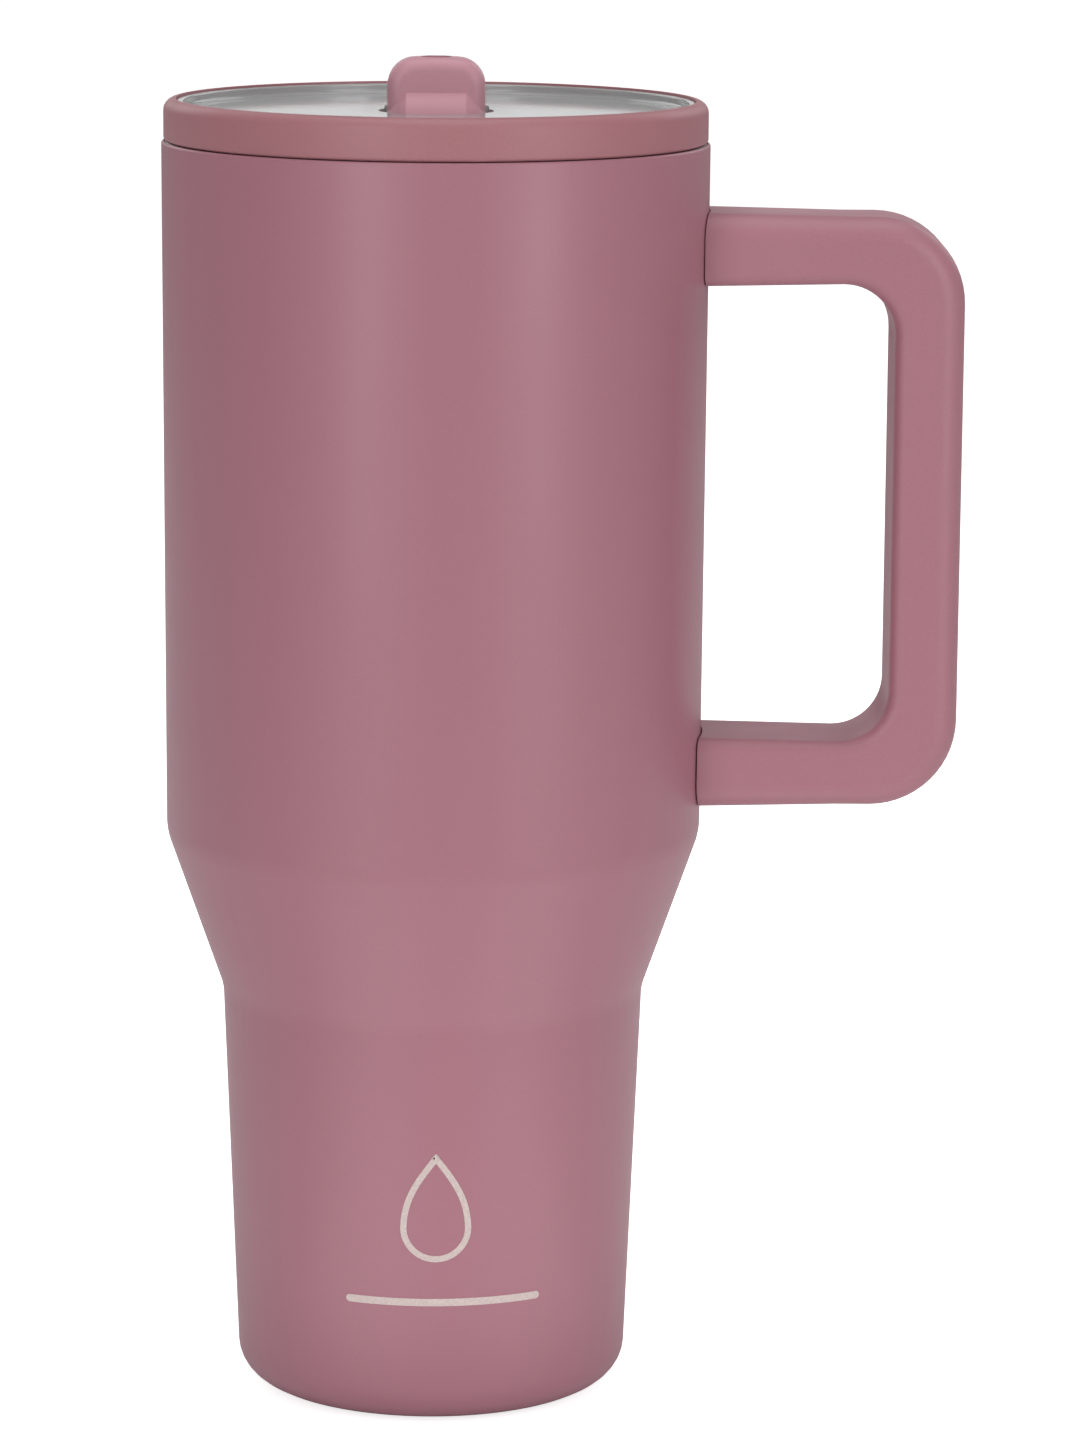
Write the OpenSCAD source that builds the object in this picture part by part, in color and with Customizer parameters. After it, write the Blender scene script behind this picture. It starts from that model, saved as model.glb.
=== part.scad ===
// Vacuum-insulated tumbler with a push-in lid, a flip-up spout, a straw and a side handle.
// The origin is the centre of the face it stands on, +Z is up and the handle is on +X.

/* [Vessel] */
// Outer diameter at the rim
body_d = 100; // [90:1:125]
// Outer diameter where the cone ends, at the bottom of the wide part
cone_top_d = 99; // [86:1:120]
// Outer diameter where the cone starts, at the top of the narrow part
cone_bottom_d = 78.2; // [66:0.2:84]
// Outer diameter at the foot
base_d = 72.2; // [62:0.2:84]
// Height of the narrow part that goes into a cup holder
lower_h = 75.6; // [60:0.2:100]
// Height of the cone
cone_h = 29.6; // [22:0.2:40]
// Height of the wide part
upper_h = 127.3; // [104:0.1:160]
// Radius between the foot and the wall
base_fillet = 6.8; // [3:0.1:8]
// Radius that softens both ends of the cone
cone_blend = 10; // [5:0.5:14]
// Thickness of the outer wall
shell_wall = 0.6; // [0.5:0.1:1]
// Width of the vacuum space between the walls
vacuum_gap = 2.5; // [1.5:0.1:3]
// Thickness of the inner wall
liner_wall = 0.5; // [0.4:0.1:1]
// Bevel round the top edge
rim_bevel = 0.7; // [0.3:0.1:0.9]
// Radius between the liner's floor and its wall
floor_fillet = 5; // [2:0.5:7]

/* [Base] */
// Width of the flat land of the foot
foot_land = 2.3; // [1.5:0.1:4]
// Height that the pad stands proud of the foot
pad_proud = 0.3; // [0.2:0.1:1]
// Thickness of the pad
pad_t = 1.5; // [1:0.1:2]
// Thickness of the pressed bottom and of its cap
sheet_t = 0.6; // [0.4:0.1:1]
// Height of the recess under the pressed bottom
recess_h = 5; // [4:0.1:6]
// Depth of the liner's underside above the pressed bottom
under_gap = 3.9; // [3.5:0.1:8]
// Radius of the getter pellet
getter_r = 4; // [3:0.5:5]
// Thickness of the getter pellet
getter_t = 1.8; // [1:0.1:2.4]
// Distance of the getter from the axis
getter_x = 13; // [12:1:14]
// Radius of the evacuation hole
pump_hole_r = 1; // [0.5:0.1:1.5]
// Radius of the solder bead
bead_r = 3.9; // [3:0.1:5]
// Height of the solder bead
bead_t = 1.2; // [0.8:0.1:1.5]

/* [Handle] */
// Distance from the wall to the outside of the grip
handle_reach = 46.5; // [42:0.5:60]
// Thickness of the grip
grip_t = 12.8; // [11:0.1:15]
// Thickness of the arms where they meet the grip
arm_t = 12.2; // [11:0.1:14]
// Extra thickness on each side of an arm at the wall
arm_flare = 0.5; // [0:0.1:1]
// Width of the handle
handle_w = 22.5; // [20:0.5:28]
// Radius of the outer corners, seen from the side
handle_outer_r = 16; // [12:0.5:20]
// Radius of the inner corners, seen from the side
handle_inner_r = 9.5; // [6:0.5:11]
// Rounding of the long edges
handle_edge_r = 4.5; // [2:0.5:5]
// Depth of the upper arm's middle below the rim
upper_arm_drop = 18.7; // [14:0.1:24]
// Height of the lower arm's middle above the cone
lower_arm_rise = 12.1; // [10:0.1:20]

/* [Handle fixings] */
// Width of a bracket's welded pad
bracket_w = 16; // [12:1:17]
// Height of a bracket's welded pad
bracket_h = 8.4; // [6:0.2:9]
// Thickness of the bracket steel
bracket_t = 1.5; // [1:0.1:2]
// Length of the tongue from the wall
tongue_l = 14; // [12:0.5:18]
// Width of the tongue
tongue_w = 12; // [9:0.5:12]
// Thickness of the tongue
tongue_t = 2; // [1.5:0.1:2]
// Distance of the screw from the wall
screw_x = 8.5; // [7.5:0.5:9]
// Radius of the screw's shank
screw_r = 1.95; // [1.5:0.05:2.4]
// Radius of the screw's head
head_r = 3.2; // [3:0.1:3.5]
// Height of the screw's head
head_h = 2; // [1.5:0.1:2]
// Thickness of the plug over the screw
plug_t = 0.9; // [0.6:0.1:1]

/* [Lid] */
// Height of the ring that shows above the vessel
ring_h = 7.6; // [6:0.1:12]
// Step from the vessel's side to the ring's side
ring_step = 0.4; // [0:0.1:1]
// Width of the ring's top face
ring_w = 2.3; // [2:0.1:4]
// Radius of the ring's top edge
ring_edge_r = 2; // [0.5:0.1:2]
// Bevel round the ring's bottom edge
ring_bevel = 0.6; // [0.3:0.1:1]
// Depth of the plate below the ring's top
plate_recess = 2.2; // [2:0.1:4]
// Thickness of the clear plate
plate_t = 2; // [1.6:0.1:2.4]
// Thickness of the clear wall round the plate
dish_wall = 1.3; // [1:0.1:2]
// Drop from the ring's top to the clear wall's top
dish_drop = 0.4; // [0.2:0.1:1]
// Depth that the skirt goes into the mouth
skirt_depth = 11.5; // [9:0.5:14]
// Thickness of the skirt
skirt_t = 2; // [1.6:0.1:3]
// Height of the gasket's groove
groove_h = 5; // [4:0.5:6]
// Depth of the gasket's groove
groove_depth = 1; // [0.8:0.1:1.2]
// Height of the groove above the bottom of the skirt
groove_rise = 3; // [2:0.5:4]
// Distance of the vent behind the axis
vent_y = 30; // [26:1:34]
// Radius of the vent's stem
vent_r = 1.6; // [1.2:0.1:2]
// Radius of the vent's cap
vent_cap_r = 4; // [3:0.5:5]
// Height of the vent's cap
vent_cap_h = 1.3; // [1:0.1:1.8]

/* [Spout] */
// Width of the spout
spout_w = 17.8; // [14:0.1:22]
// Thickness of the mouthpiece
spout_t = 9.6; // [8:0.1:10]
// Height of the spout's tip above the plate
spout_rise = 10; // [8:0.1:12]
// Radius of the mouthpiece's top corners, seen from the front
spout_corner_r = 5; // [3:0.5:6]
// Height by which the tip is crowned
spout_crown = 0.5; // [0.1:0.1:1]
// Rounding of the tip, seen from the side
spout_tip_r = 3; // [1:0.5:4]
// Depth of the hinge below the plate's top
hinge_drop = 3.5; // [3:0.1:4]
// Radius of the hub that turns on the pins
hub_r = 8.5; // [8:0.1:9]
// Radius of the flat at each end of the hub, where a ball shape rounds it off
hub_end_r = 4.6; // [3:0.1:6]
// Gap between the hub's ball shape and the round opening in the plate
opening_gap = 0.5; // [0.4:0.05:1]
// Radius of the drinking channel
channel_r = 2.8; // [2:0.1:2.9]
// Radius of the hinge pins
pin_r = 1; // [0.8:0.1:1.2]
// Wall left between the hinge pins and the channel
channel_wall = 2.4; // [1.5:0.1:3]
// Radius of the cradle's bosses round the pins
boss_r = 2.7; // [2:0.1:2.8]
// Wall of the cradle
cradle_wall = 1.5; // [1.2:0.1:2]
// Thickness of the cradle's floor
cradle_floor = 2; // [1.5:0.1:3]
// Height of the room for the seal, under the hub
seal_room = 2.5; // [2:0.1:4]
// Radius of the seal under the hub
seal_r = 6.5; // [5:0.1:7]
// Height of the seal at its rim
seal_h = 4; // [3.4:0.1:4.4]

/* [Straw] */
// Outer radius of the straw
straw_r = 4; // [3.5:0.1:4.5]
// Height of the straw's end above the liner's floor
straw_lift = 4; // [3:0.5:10]
// Length of the straw's socket
socket_l = 10; // [8:0.5:14]
// Wall of the silicone bush that grips the straw
bush_wall = 1.4; // [1:0.1:2]
// Wall of the socket
socket_wall = 1.5; // [1.2:0.1:2]
// Height of the bush's lip below the socket
lip_h = 1.5; // [1:0.1:2]

/* [Fits] */
// Gap between pieces that are pushed or glued together
push_fit = 0.05; // [0.02:0.01:0.1]
// Gap round the hinge pins
running_fit = 0.05; // [0.02:0.01:0.08]
// Gap between the spout and what it moves past
swing_gap = 0.3; // [0.25:0.05:0.5]
// Gap between the hub's ends and the cradle's bosses
side_gap = 0.2; // [0.1:0.05:0.3]
// Gap between the skirt and the mouth
skirt_gap = 0.6; // [0.5:0.1:1]
// Gap between the gasket's lips and the mouth
gasket_gap = 0.25; // [0.2:0.05:0.35]
// Gap between the ring and the rim that it sits on
seat_gap = 0.1; // [0.05:0.05:0.2]

/* [Hidden] */
$fn = 96;

coat = [0.67, 0.48, 0.52];
steel = [0.72, 0.72, 0.73];
clear = [0.80, 0.84, 0.85, 0.45];
silicone = [0.86, 0.86, 0.84];
past = 1; // overshoot of a cut beyond the face it leaves

body_r = body_d / 2;
base_r = base_d / 2;
foot_z = pad_proud;
cone_bottom_z = lower_h;
cone_top_z = cone_bottom_z + cone_h;
rim_z = cone_top_z + upper_h;
foot_inner_r = base_r - base_fillet - foot_land;
liner_out = shell_wall + vacuum_gap;
liner_in = liner_out + liner_wall;
bottom_z = foot_z + recess_h + sheet_t;
liner_under_z = bottom_z + under_gap;
floor_z = liner_under_z + liner_wall;
weld_r = body_r - liner_in + 1.2;

// Points along a fillet of radius r in the corner b, between the lines to a and to c.
function unit(v) = v / norm(v);
function fillet(a, b, c, r, steps) =
    let (u = unit(a - b), w = unit(c - b), half = acos(u * w) / 2,
         centre = b + unit(u + w) * r / sin(half),
         start = b + u * r / tan(half) - centre,
         turn = sign(cross(c - b, a - b)) * (180 - 2 * half))
    [for (i = [0 : steps])
        let (t = turn * i / steps)
        centre + [start.x * cos(t) - start.y * sin(t), start.x * sin(t) + start.y * cos(t)]];

// An outline with its corners rounded; radii holds one radius for each point, 0 for a sharp one.
function rounded(p, radii, steps = 8) =
    [for (i = [0 : len(p) - 1])
        each radii[i] == 0 ? [p[i]]
            : fillet(p[(i + len(p) - 1) % len(p)], p[i], p[(i + 1) % len(p)], radii[i], steps)];

// An open line moved to its left by d, with its corners kept sharp.
function left(a, b) = [a.y - b.y, b.x - a.x] / norm(b - a);
function inset(p, d) =
    [for (i = [0 : len(p) - 1])
        i == 0 ? p[i] + left(p[i], p[i + 1]) * d
        : i == len(p) - 1 ? p[i] + left(p[i - 1], p[i]) * d
        : let (m = left(p[i - 1], p[i]), n = left(p[i], p[i + 1]))
            p[i] + (m + n) * d / (1 + m * n)];
function reversed(p) = [for (i = [len(p) - 1 : -1 : 0]) p[i]];

// Radius at the height z on the line through a and b.
function radius_at(a, b, z) = a.x + (b.x - a.x) * (z - a.y) / (b.y - a.y);

// The outside of the vessel, from the inner edge of the foot up to the weld at the rim.
vessel_line = [[foot_inner_r, foot_z], [base_r, foot_z], [cone_bottom_d / 2, cone_bottom_z],
               [cone_top_d / 2, cone_top_z], [body_r, rim_z - rim_bevel],
               [body_r - rim_bevel, rim_z], [weld_r, rim_z]];

// The vessel's surface at the depth d below its outside.
function skin(d) =
    rounded(inset(vessel_line, d), [0, base_fillet - d, cone_blend + d, cone_blend - d, 0, 0, 0]);

// The wall at the depth d, between two heights, with no foot and no rim.
function wall_line(d, z0, z1) =
    let (p = inset(vessel_line, d))
    [[radius_at(p[1], p[2], z0), z0], p[2], p[3], [radius_at(p[3], p[4], z1), z1]];
function wall_run(d, z0, z1) =
    rounded(wall_line(d, z0, z1), [0, cone_blend + d, cone_blend - d, 0]);

// A cup at the depth d with its floor at the height z, as an open line from the axis to the rim.
function cup_run(d, z, corner) =
    rounded(concat([[0, z]], wall_line(d, z, rim_z)),
            [0, corner, cone_blend + d, cone_blend - d, 0]);

// Inner radius of the wall at the height z in the wide part.
function mouth_r(z) = let (p = inset(vessel_line, liner_in)) radius_at(p[3], p[4], z);

module turned(outline) {
    rotate_extrude() polygon(outline);
}

module ring_solid(inner, outer, z0, z1) {
    translate([0, 0, z0])
        difference() {
            cylinder(r = outer, h = z1 - z0);
            translate([0, 0, -past]) cylinder(r = inner, h = z1 - z0 + 2 * past);
        }
}

// A solid that fills the vessel out to the distance d beyond its outside.
module envelope(d = 0) {
    turned(concat([[0, foot_z]], wall_run(-d, foot_z, rim_z), [[0, rim_z]]));
}

// ---- Vessel ----

module outer_shell() {
    color(coat) turned(concat(skin(0), reversed(skin(shell_wall))));
}

module inner_liner() {
    inside = cup_run(liner_in, floor_z, floor_fillet);
    outside = cup_run(liner_out, liner_under_z, floor_fillet + liner_wall);
    color(steel)
        difference() {
            union() {
                turned(concat(outside, [[0, rim_z]]));
                translate([0, 0, rim_z - liner_wall]) cylinder(r = weld_r, h = liner_wall);
            }
            turned(concat(inside, [[0, rim_z]]));
            translate([0, 0, rim_z - past / 2]) cylinder(r = mouth_r(rim_z), h = past);
        }
}

foil_t = 0.15;
foil_off = 0.15; // gap between the foil and the liner
foil_margin = 14; // bare height at both ends of the liner

module foil_wrap() {
    z0 = floor_z + foil_margin;
    z1 = rim_z - foil_margin;
    d = liner_out - foil_off;
    color("peru")
        turned(concat(wall_run(d - foil_t, z0, z1), reversed(wall_run(d, z0, z1))));
}

// ---- Base ----

bottom_in = foot_inner_r - sheet_t;

module outer_bottom() {
    color(steel)
        difference() {
            union() {
                ring_solid(bottom_in, foot_inner_r, foot_z, bottom_z);
                translate([0, 0, bottom_z - sheet_t]) cylinder(r = foot_inner_r, h = sheet_t);
                translate([0, 0, bottom_z - sheet_t])
                    cylinder(r = bead_r + push_fit + sheet_t, h = bead_t + sheet_t);
            }
            translate([0, 0, bottom_z - sheet_t - past])
                cylinder(r = bead_r + push_fit, h = bead_t + past);
            translate([0, 0, bottom_z - sheet_t]) cylinder(r = pump_hole_r, h = under_gap);
        }
}

module vacuum_seal() {
    color([0.30, 0.30, 0.28])
        translate([0, 0, bottom_z - sheet_t]) {
            cylinder(r = bead_r, h = bead_t);
            cylinder(r = pump_hole_r - push_fit, h = bead_t + sheet_t);
        }
}

module getter() {
    color("dimgray") translate([getter_x, 0, bottom_z]) cylinder(r = getter_r, h = getter_t);
}

clip_t = 0.3;
clip_w = 3;
clip_foot = 2;

module getter_clip() {
    reach = getter_r + push_fit;
    color(steel)
        translate([getter_x, 0, bottom_z]) {
            translate([-clip_w / 2, -reach - clip_t, getter_t + push_fit])
                cube([clip_w, 2 * (reach + clip_t), clip_t]);
            for (side = [-1, 1])
                scale([1, side, 1]) {
                    translate([-clip_w / 2, reach, 0]) cube([clip_w, clip_t, getter_t + clip_t]);
                    translate([-clip_w / 2, reach, 0]) cube([clip_w, clip_foot, clip_t]);
                }
        }
}

cap_lip = 2.1; // height of the cap's turned-up edge above its face

module base_cap() {
    color(steel) {
        translate([0, 0, pad_t]) cylinder(r = bottom_in - push_fit, h = sheet_t);
        ring_solid(bottom_in - push_fit - sheet_t, bottom_in - push_fit, pad_t,
                   pad_t + sheet_t + cap_lip);
    }
}

module foot_pad() {
    color(silicone) cylinder(r = bottom_in - 2 * push_fit, h = pad_t);
}

// ---- Handle ----

grip_x = body_r + handle_reach;
grip_in_x = grip_x - grip_t;
upper_arm_z = rim_z - upper_arm_drop;
lower_arm_z = cone_top_z + lower_arm_rise;
flare_x = grip_in_x - handle_inner_r; // the arms flare from here to the wall
root_x = min(body_d, cone_top_d) / 2 - 8; // the arms start here, inside the vessel, and are cut to it

// Corners of the handle seen from the side, from the lower arm's root round the outside.
function handle_line() =
    let (h = arm_t / 2, f = h + arm_flare * (flare_x - root_x) / (flare_x - body_r))
    [[root_x, lower_arm_z - f], [flare_x, lower_arm_z - h], [grip_x, lower_arm_z - h],
     [grip_x, upper_arm_z + h], [flare_x, upper_arm_z + h], [root_x, upper_arm_z + f],
     [root_x, upper_arm_z - f], [flare_x, upper_arm_z - h], [grip_in_x, upper_arm_z - h],
     [grip_in_x, lower_arm_z + h], [flare_x, lower_arm_z + h], [root_x, lower_arm_z + f]];

module handle_blank() {
    z0 = lower_arm_z - arm_t;
    z1 = upper_arm_z + arm_t;
    low = lower_arm_z - arm_t / 2 - arm_flare;
    high = upper_arm_z + arm_t / 2 + arm_flare;
    half = handle_w / 2;
    inner = handle_inner_r - 0.01; // a hair less, so the curve ends before the flare starts
    intersection() {
        rotate([90, 0, 0])
            linear_extrude(handle_w, center = true)
                polygon(rounded(handle_line(), [0, 0, handle_outer_r, handle_outer_r, 0, 0,
                                                0, 0, inner, inner, 0, 0]));
        translate([0, 0, z0])
            linear_extrude(z1 - z0)
                polygon(rounded([[0, -half], [grip_x, -half], [grip_x, half], [0, half]],
                                [0, handle_edge_r, handle_edge_r, 0]));
        rotate([90, 0, 90])
            linear_extrude(grip_x + past)
                polygon(rounded([[-half, low], [half, low], [half, high], [-half, high]],
                                [handle_edge_r, handle_edge_r, handle_edge_r, handle_edge_r]));
    }
}

// A block centred in Y and on the height z, from the axis out to x.
module block(x, w, h, z) {
    translate([0, -w / 2, z - h / 2]) cube([x, w, h]);
}

arm_under = arm_t / 2 + arm_flare * (flare_x - body_r - screw_x) / (flare_x - body_r);
head_z = -arm_under + plug_t + head_h + push_fit; // top of the screw's head from an arm's middle
shank_top = tongue_t / 2 + 2;
bracket_play = 0.3; // gap between a bracket and the arm round it

// A bracket, or with play the room for it: a pad that follows the wall, and a tongue.
module bracket_form(z, play) {
    intersection() {
        envelope(bracket_t + play);
        block(body_r + tongue_l, bracket_w + 2 * play, bracket_h + 2 * play, z);
    }
    block(body_r + tongue_l + play, tongue_w + 2 * play, tongue_t + 2 * play, z);
}

module bracket(z) {
    color(steel)
        difference() {
            bracket_form(z, 0);
            envelope();
            translate([body_r + screw_x, 0, z - bracket_h])
                cylinder(r = screw_r + push_fit, h = 2 * bracket_h);
        }
}

module handle() {
    color(coat)
        difference() {
            handle_blank();
            envelope();
            for (z = [lower_arm_z, upper_arm_z]) {
                bracket_form(z, bracket_play);
                translate([body_r + screw_x, 0, z - arm_under - past])
                    cylinder(r = head_r + push_fit, h = arm_under + head_z + past);
                translate([body_r + screw_x, 0, z - arm_under])
                    cylinder(r = screw_r + 4 * push_fit, h = arm_under + shank_top + bracket_play);
            }
        }
}

module upper_handle_bracket() {
    bracket(upper_arm_z);
}

module lower_handle_bracket() {
    bracket(lower_arm_z);
}

hex_r = 1.3;
hex_depth = 1.2;

module handle_screws() {
    color(steel)
        for (z = [lower_arm_z, upper_arm_z])
            translate([body_r + screw_x, 0, z + head_z - push_fit])
                difference() {
                    union() {
                        translate([0, 0, -head_h]) cylinder(r = head_r, h = head_h);
                        cylinder(r = screw_r, h = shank_top - head_z);
                    }
                    translate([0, 0, -head_h - past])
                        cylinder(r = hex_r, h = hex_depth + past, $fn = 6);
                }
}

module handle_screw_plugs() {
    color(coat)
        for (z = [lower_arm_z, upper_arm_z])
            translate([body_r + screw_x, 0, z - arm_under]) cylinder(r = head_r, h = plug_t);
}

// ---- Lid ----

ring_r = body_r - ring_step;
ring_z = rim_z + seat_gap;
ring_top = ring_z + ring_h;
ring_in = ring_r - ring_w;
plate_z = ring_top - plate_recess; // top of the plate
plate_under = plate_z - plate_t;
skirt_z = rim_z - skirt_depth;
skirt_r = min(mouth_r(rim_z), mouth_r(skirt_z)) - skirt_gap;
groove_z = skirt_z + groove_rise;

module lid_ring() {
    color(coat)
        turned(concat(
            rounded([[ring_in, plate_under], [skirt_r - skirt_t, plate_under],
                     [skirt_r - skirt_t, skirt_z], [skirt_r, skirt_z], [skirt_r, groove_z],
                     [skirt_r - groove_depth, groove_z],
                     [skirt_r - groove_depth, groove_z + groove_h], [skirt_r, groove_z + groove_h],
                     [skirt_r, ring_z], [ring_r - ring_bevel, ring_z],
                     [ring_r, ring_z + ring_bevel], [ring_r, ring_top], [ring_in, ring_top]],
                    [0, 0, 0, 0, 0, 0, 0, 0, 0, 0, 0, ring_edge_r, 0])));
}

vent_bulb_r = vent_r + 1;
vent_bulb_h = 2.2;

// The opening in the plate and the cradle: a round hole, and a bay behind it for the mouthpiece.
hinge_z = plate_z - hinge_drop;
hub_ball_r = norm([spout_w / 2, hub_end_r]);
opening_r = hub_ball_r + opening_gap;
boss_end = opening_r + cradle_wall / 2; // the hinge bosses end in the middle of the cradle's wall
pin_bite = spout_w / 2 - channel_r - channel_wall; // depth of the hinge pins' bores in the hub
spout_top = plate_z + spout_rise;
fold_y = spout_top - hinge_z; // how far back the folded mouthpiece reaches
bay_w = spout_w + 4 * swing_gap + side_gap;
bay_y = fold_y + 4 * swing_gap;
bay_z = hinge_z - spout_t / 2 - swing_gap;

module opening(grow, z0, z1) {
    translate([0, 0, z0]) cylinder(r = opening_r + grow, h = z1 - z0);
}

module bay(grow, z0, z1) {
    half = bay_w / 2 + grow;
    translate([0, 0, z0])
        linear_extrude(z1 - z0)
            polygon(rounded([[-half, 0], [half, 0], [half, bay_y + grow], [-half, bay_y + grow]],
                            [0, 0, 3 + grow, 3 + grow]));
}

// Both hinge pins' line, as a rod of radius r from x0 to x1 on each side.
module hinge_rods(r, x0, x1) {
    for (side = [-1, 1])
        translate([side * x0, 0, hinge_z]) rotate([0, 90 * side, 0]) cylinder(r = r, h = x1 - x0);
}

module lid_plate() {
    plate_r = ring_in - push_fit;
    dish_top = ring_top - dish_drop;
    color(clear)
        difference() {
            translate([0, 0, plate_under]) cylinder(r = plate_r, h = dish_top - plate_under);
            translate([0, 0, plate_z]) cylinder(r = plate_r - dish_wall, h = ring_h);
            opening(0, plate_under - past, plate_z + past);
            bay(0, plate_under - past, plate_z + past);
            hinge_rods(boss_r + push_fit, spout_w / 2, boss_end + push_fit);
            translate([0, vent_y, plate_under - past]) cylinder(r = vent_r, h = plate_t + 2 * past);
        }
}

// A ring in the skirt's groove, with two lips that reach out to the mouth.
module lid_gasket() {
    inner = skirt_r - groove_depth + push_fit;
    body = skirt_r;
    z0 = groove_z + push_fit;
    z1 = groove_z + groove_h - push_fit;
    lip = min(mouth_r(z0), mouth_r(z1)) - gasket_gap;
    step = (z1 - z0) / 5;
    color(silicone)
        turned([[inner, z0], [body, z0], [lip, z0 + step], [lip, z0 + 1.5 * step],
                [body, z0 + 2 * step], [body, z0 + 3 * step], [lip, z1 - step],
                [lip, z1 - step / 2], [body, z1], [inner, z1]]);
}

module vent_valve() {
    color(silicone)
        translate([0, vent_y, 0]) {
            translate([0, 0, plate_z + push_fit]) cylinder(r = vent_cap_r, h = vent_cap_h);
            translate([0, 0, plate_under - vent_bulb_h])
                cylinder(r = vent_r - push_fit, h = plate_z + 2 * push_fit - plate_under + vent_bulb_h);
            translate([0, 0, plate_under - vent_bulb_h - push_fit])
                cylinder(r1 = vent_r - push_fit, r2 = vent_bulb_r, h = vent_bulb_h);
        }
}

// ---- Spout, cradle and straw ----

cradle_in_z = hinge_z - hub_r - seal_room; // top of the cradle's floor
cradle_z = cradle_in_z - cradle_floor;
boss_x = spout_w / 2 + side_gap;
socket_in = straw_r + bush_wall + 2 * push_fit;
socket_out = socket_in + socket_wall;
socket_z = cradle_z - socket_l;
flange_w = 2;
flange_t = 1.2;

module spout_cradle() {
    bay_floor = bay_z - cradle_wall;
    color(coat)
        difference() {
            union() {
                difference() {
                    union() {
                        opening(cradle_wall, cradle_z, plate_under);
                        bay(cradle_wall, bay_floor, plate_under);
                        opening(flange_w + cradle_wall, plate_under - flange_t, plate_under);
                        bay(flange_w + cradle_wall, plate_under - flange_t, plate_under);
                    }
                    opening(0, cradle_in_z, plate_under + past);
                    bay(0, bay_z, plate_under + past);
                }
                hinge_rods(boss_r, boss_x, boss_end);
                ring_solid(socket_in, socket_out, socket_z, cradle_z);
            }
            hinge_rods(pin_r, boss_x - past, opening_r + cradle_wall + flange_w + past);
            translate([0, 0, cradle_z - past]) cylinder(r = channel_r, h = cradle_floor + 2 * past);
        }
}

module spout_seal() {
    color(silicone)
        difference() {
            translate([0, 0, cradle_in_z]) cylinder(r = seal_r, h = seal_h);
            translate([-opening_r, 0, hinge_z])
                rotate([0, 90, 0]) cylinder(r = hub_r + swing_gap, h = 2 * opening_r);
            translate([0, 0, cradle_in_z - past]) cylinder(r = channel_r, h = seal_h + 2 * past);
        }
}

module spout_pins() {
    color(steel)
        hinge_rods(pin_r, spout_w / 2 - pin_bite + side_gap, opening_r + cradle_wall - push_fit);
}

module flip_spout() {
    half = spout_w / 2;
    side = spout_t / 2;
    shoulder = fold_y - spout_crown;
    color(coat)
        difference() {
            translate([0, 0, hinge_z]) {
                intersection() {
                    rotate([90, 0, 0])
                        linear_extrude(spout_t, center = true)
                            polygon(rounded([[-half, 0], [half, 0], [half, shoulder],
                                             [0, fold_y], [-half, shoulder]],
                                            [0, 0, spout_corner_r, 4 * half, spout_corner_r]));
                    rotate([90, 0, 90])
                        linear_extrude(spout_w, center = true)
                            polygon(rounded([[-side, 0], [side, 0], [side, fold_y], [-side, fold_y]],
                                            [0, 0, spout_tip_r, spout_tip_r]));
                }
                rotate([0, 90, 0])
                    rotate_extrude()
                        intersection() {
                            circle(r = hub_ball_r);
                            translate([0, -half]) square([hub_r, spout_w]);
                        }
            }
            translate([0, 0, hinge_z - hub_r - past])
                cylinder(r = channel_r, h = hub_r + fold_y + 2 * past);
            hinge_rods(pin_r + running_fit, half - pin_bite, half + past);
        }
}

straw_top = cradle_z - push_fit;

module straw_holder() {
    color(silicone) {
        ring_solid(straw_r + push_fit, straw_r + push_fit + bush_wall, socket_z - lip_h,
                   cradle_z - push_fit);
        ring_solid(straw_r + push_fit, socket_out, socket_z - lip_h, socket_z - push_fit);
    }
}

module straw() {
    color(clear) ring_solid(channel_r, straw_r, floor_z + straw_lift, straw_top);
}

outer_shell();
inner_liner();
foil_wrap();
outer_bottom();
getter();
getter_clip();
vacuum_seal();
base_cap();
foot_pad();
handle();
upper_handle_bracket();
lower_handle_bracket();
handle_screws();
handle_screw_plugs();
lid_ring();
lid_plate();
lid_gasket();
spout_cradle();
spout_seal();
spout_pins();
straw_holder();
straw();
vent_valve();
flip_spout();
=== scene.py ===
"""Looks of the insulated tumbler: its finishes, its rebuilt pieces and a plain studio.

Sizes are in millimetres and become metres when a piece is made. The vessel's axis is Z, the
handle is on +X and the front is on -Y.
"""

import logging
import math
from dataclasses import dataclass, replace
from enum import Enum

import bmesh
import bpy
from mathutils import Matrix, Vector


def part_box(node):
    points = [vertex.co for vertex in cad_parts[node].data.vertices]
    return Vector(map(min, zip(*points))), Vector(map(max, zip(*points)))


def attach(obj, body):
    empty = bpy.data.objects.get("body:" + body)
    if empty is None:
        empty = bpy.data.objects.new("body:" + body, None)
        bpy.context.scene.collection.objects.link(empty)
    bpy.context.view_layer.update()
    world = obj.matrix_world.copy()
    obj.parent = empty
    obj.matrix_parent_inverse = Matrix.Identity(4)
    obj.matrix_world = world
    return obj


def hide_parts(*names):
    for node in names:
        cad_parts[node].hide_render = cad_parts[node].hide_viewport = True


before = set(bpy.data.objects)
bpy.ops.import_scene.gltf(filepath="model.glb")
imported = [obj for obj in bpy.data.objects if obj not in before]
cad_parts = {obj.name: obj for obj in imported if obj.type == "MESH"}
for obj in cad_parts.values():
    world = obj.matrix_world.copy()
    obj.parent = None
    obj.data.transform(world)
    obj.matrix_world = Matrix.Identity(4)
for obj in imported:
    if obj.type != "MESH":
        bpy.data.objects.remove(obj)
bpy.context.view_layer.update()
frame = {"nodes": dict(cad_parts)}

log = logging.getLogger("tumbler")

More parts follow.
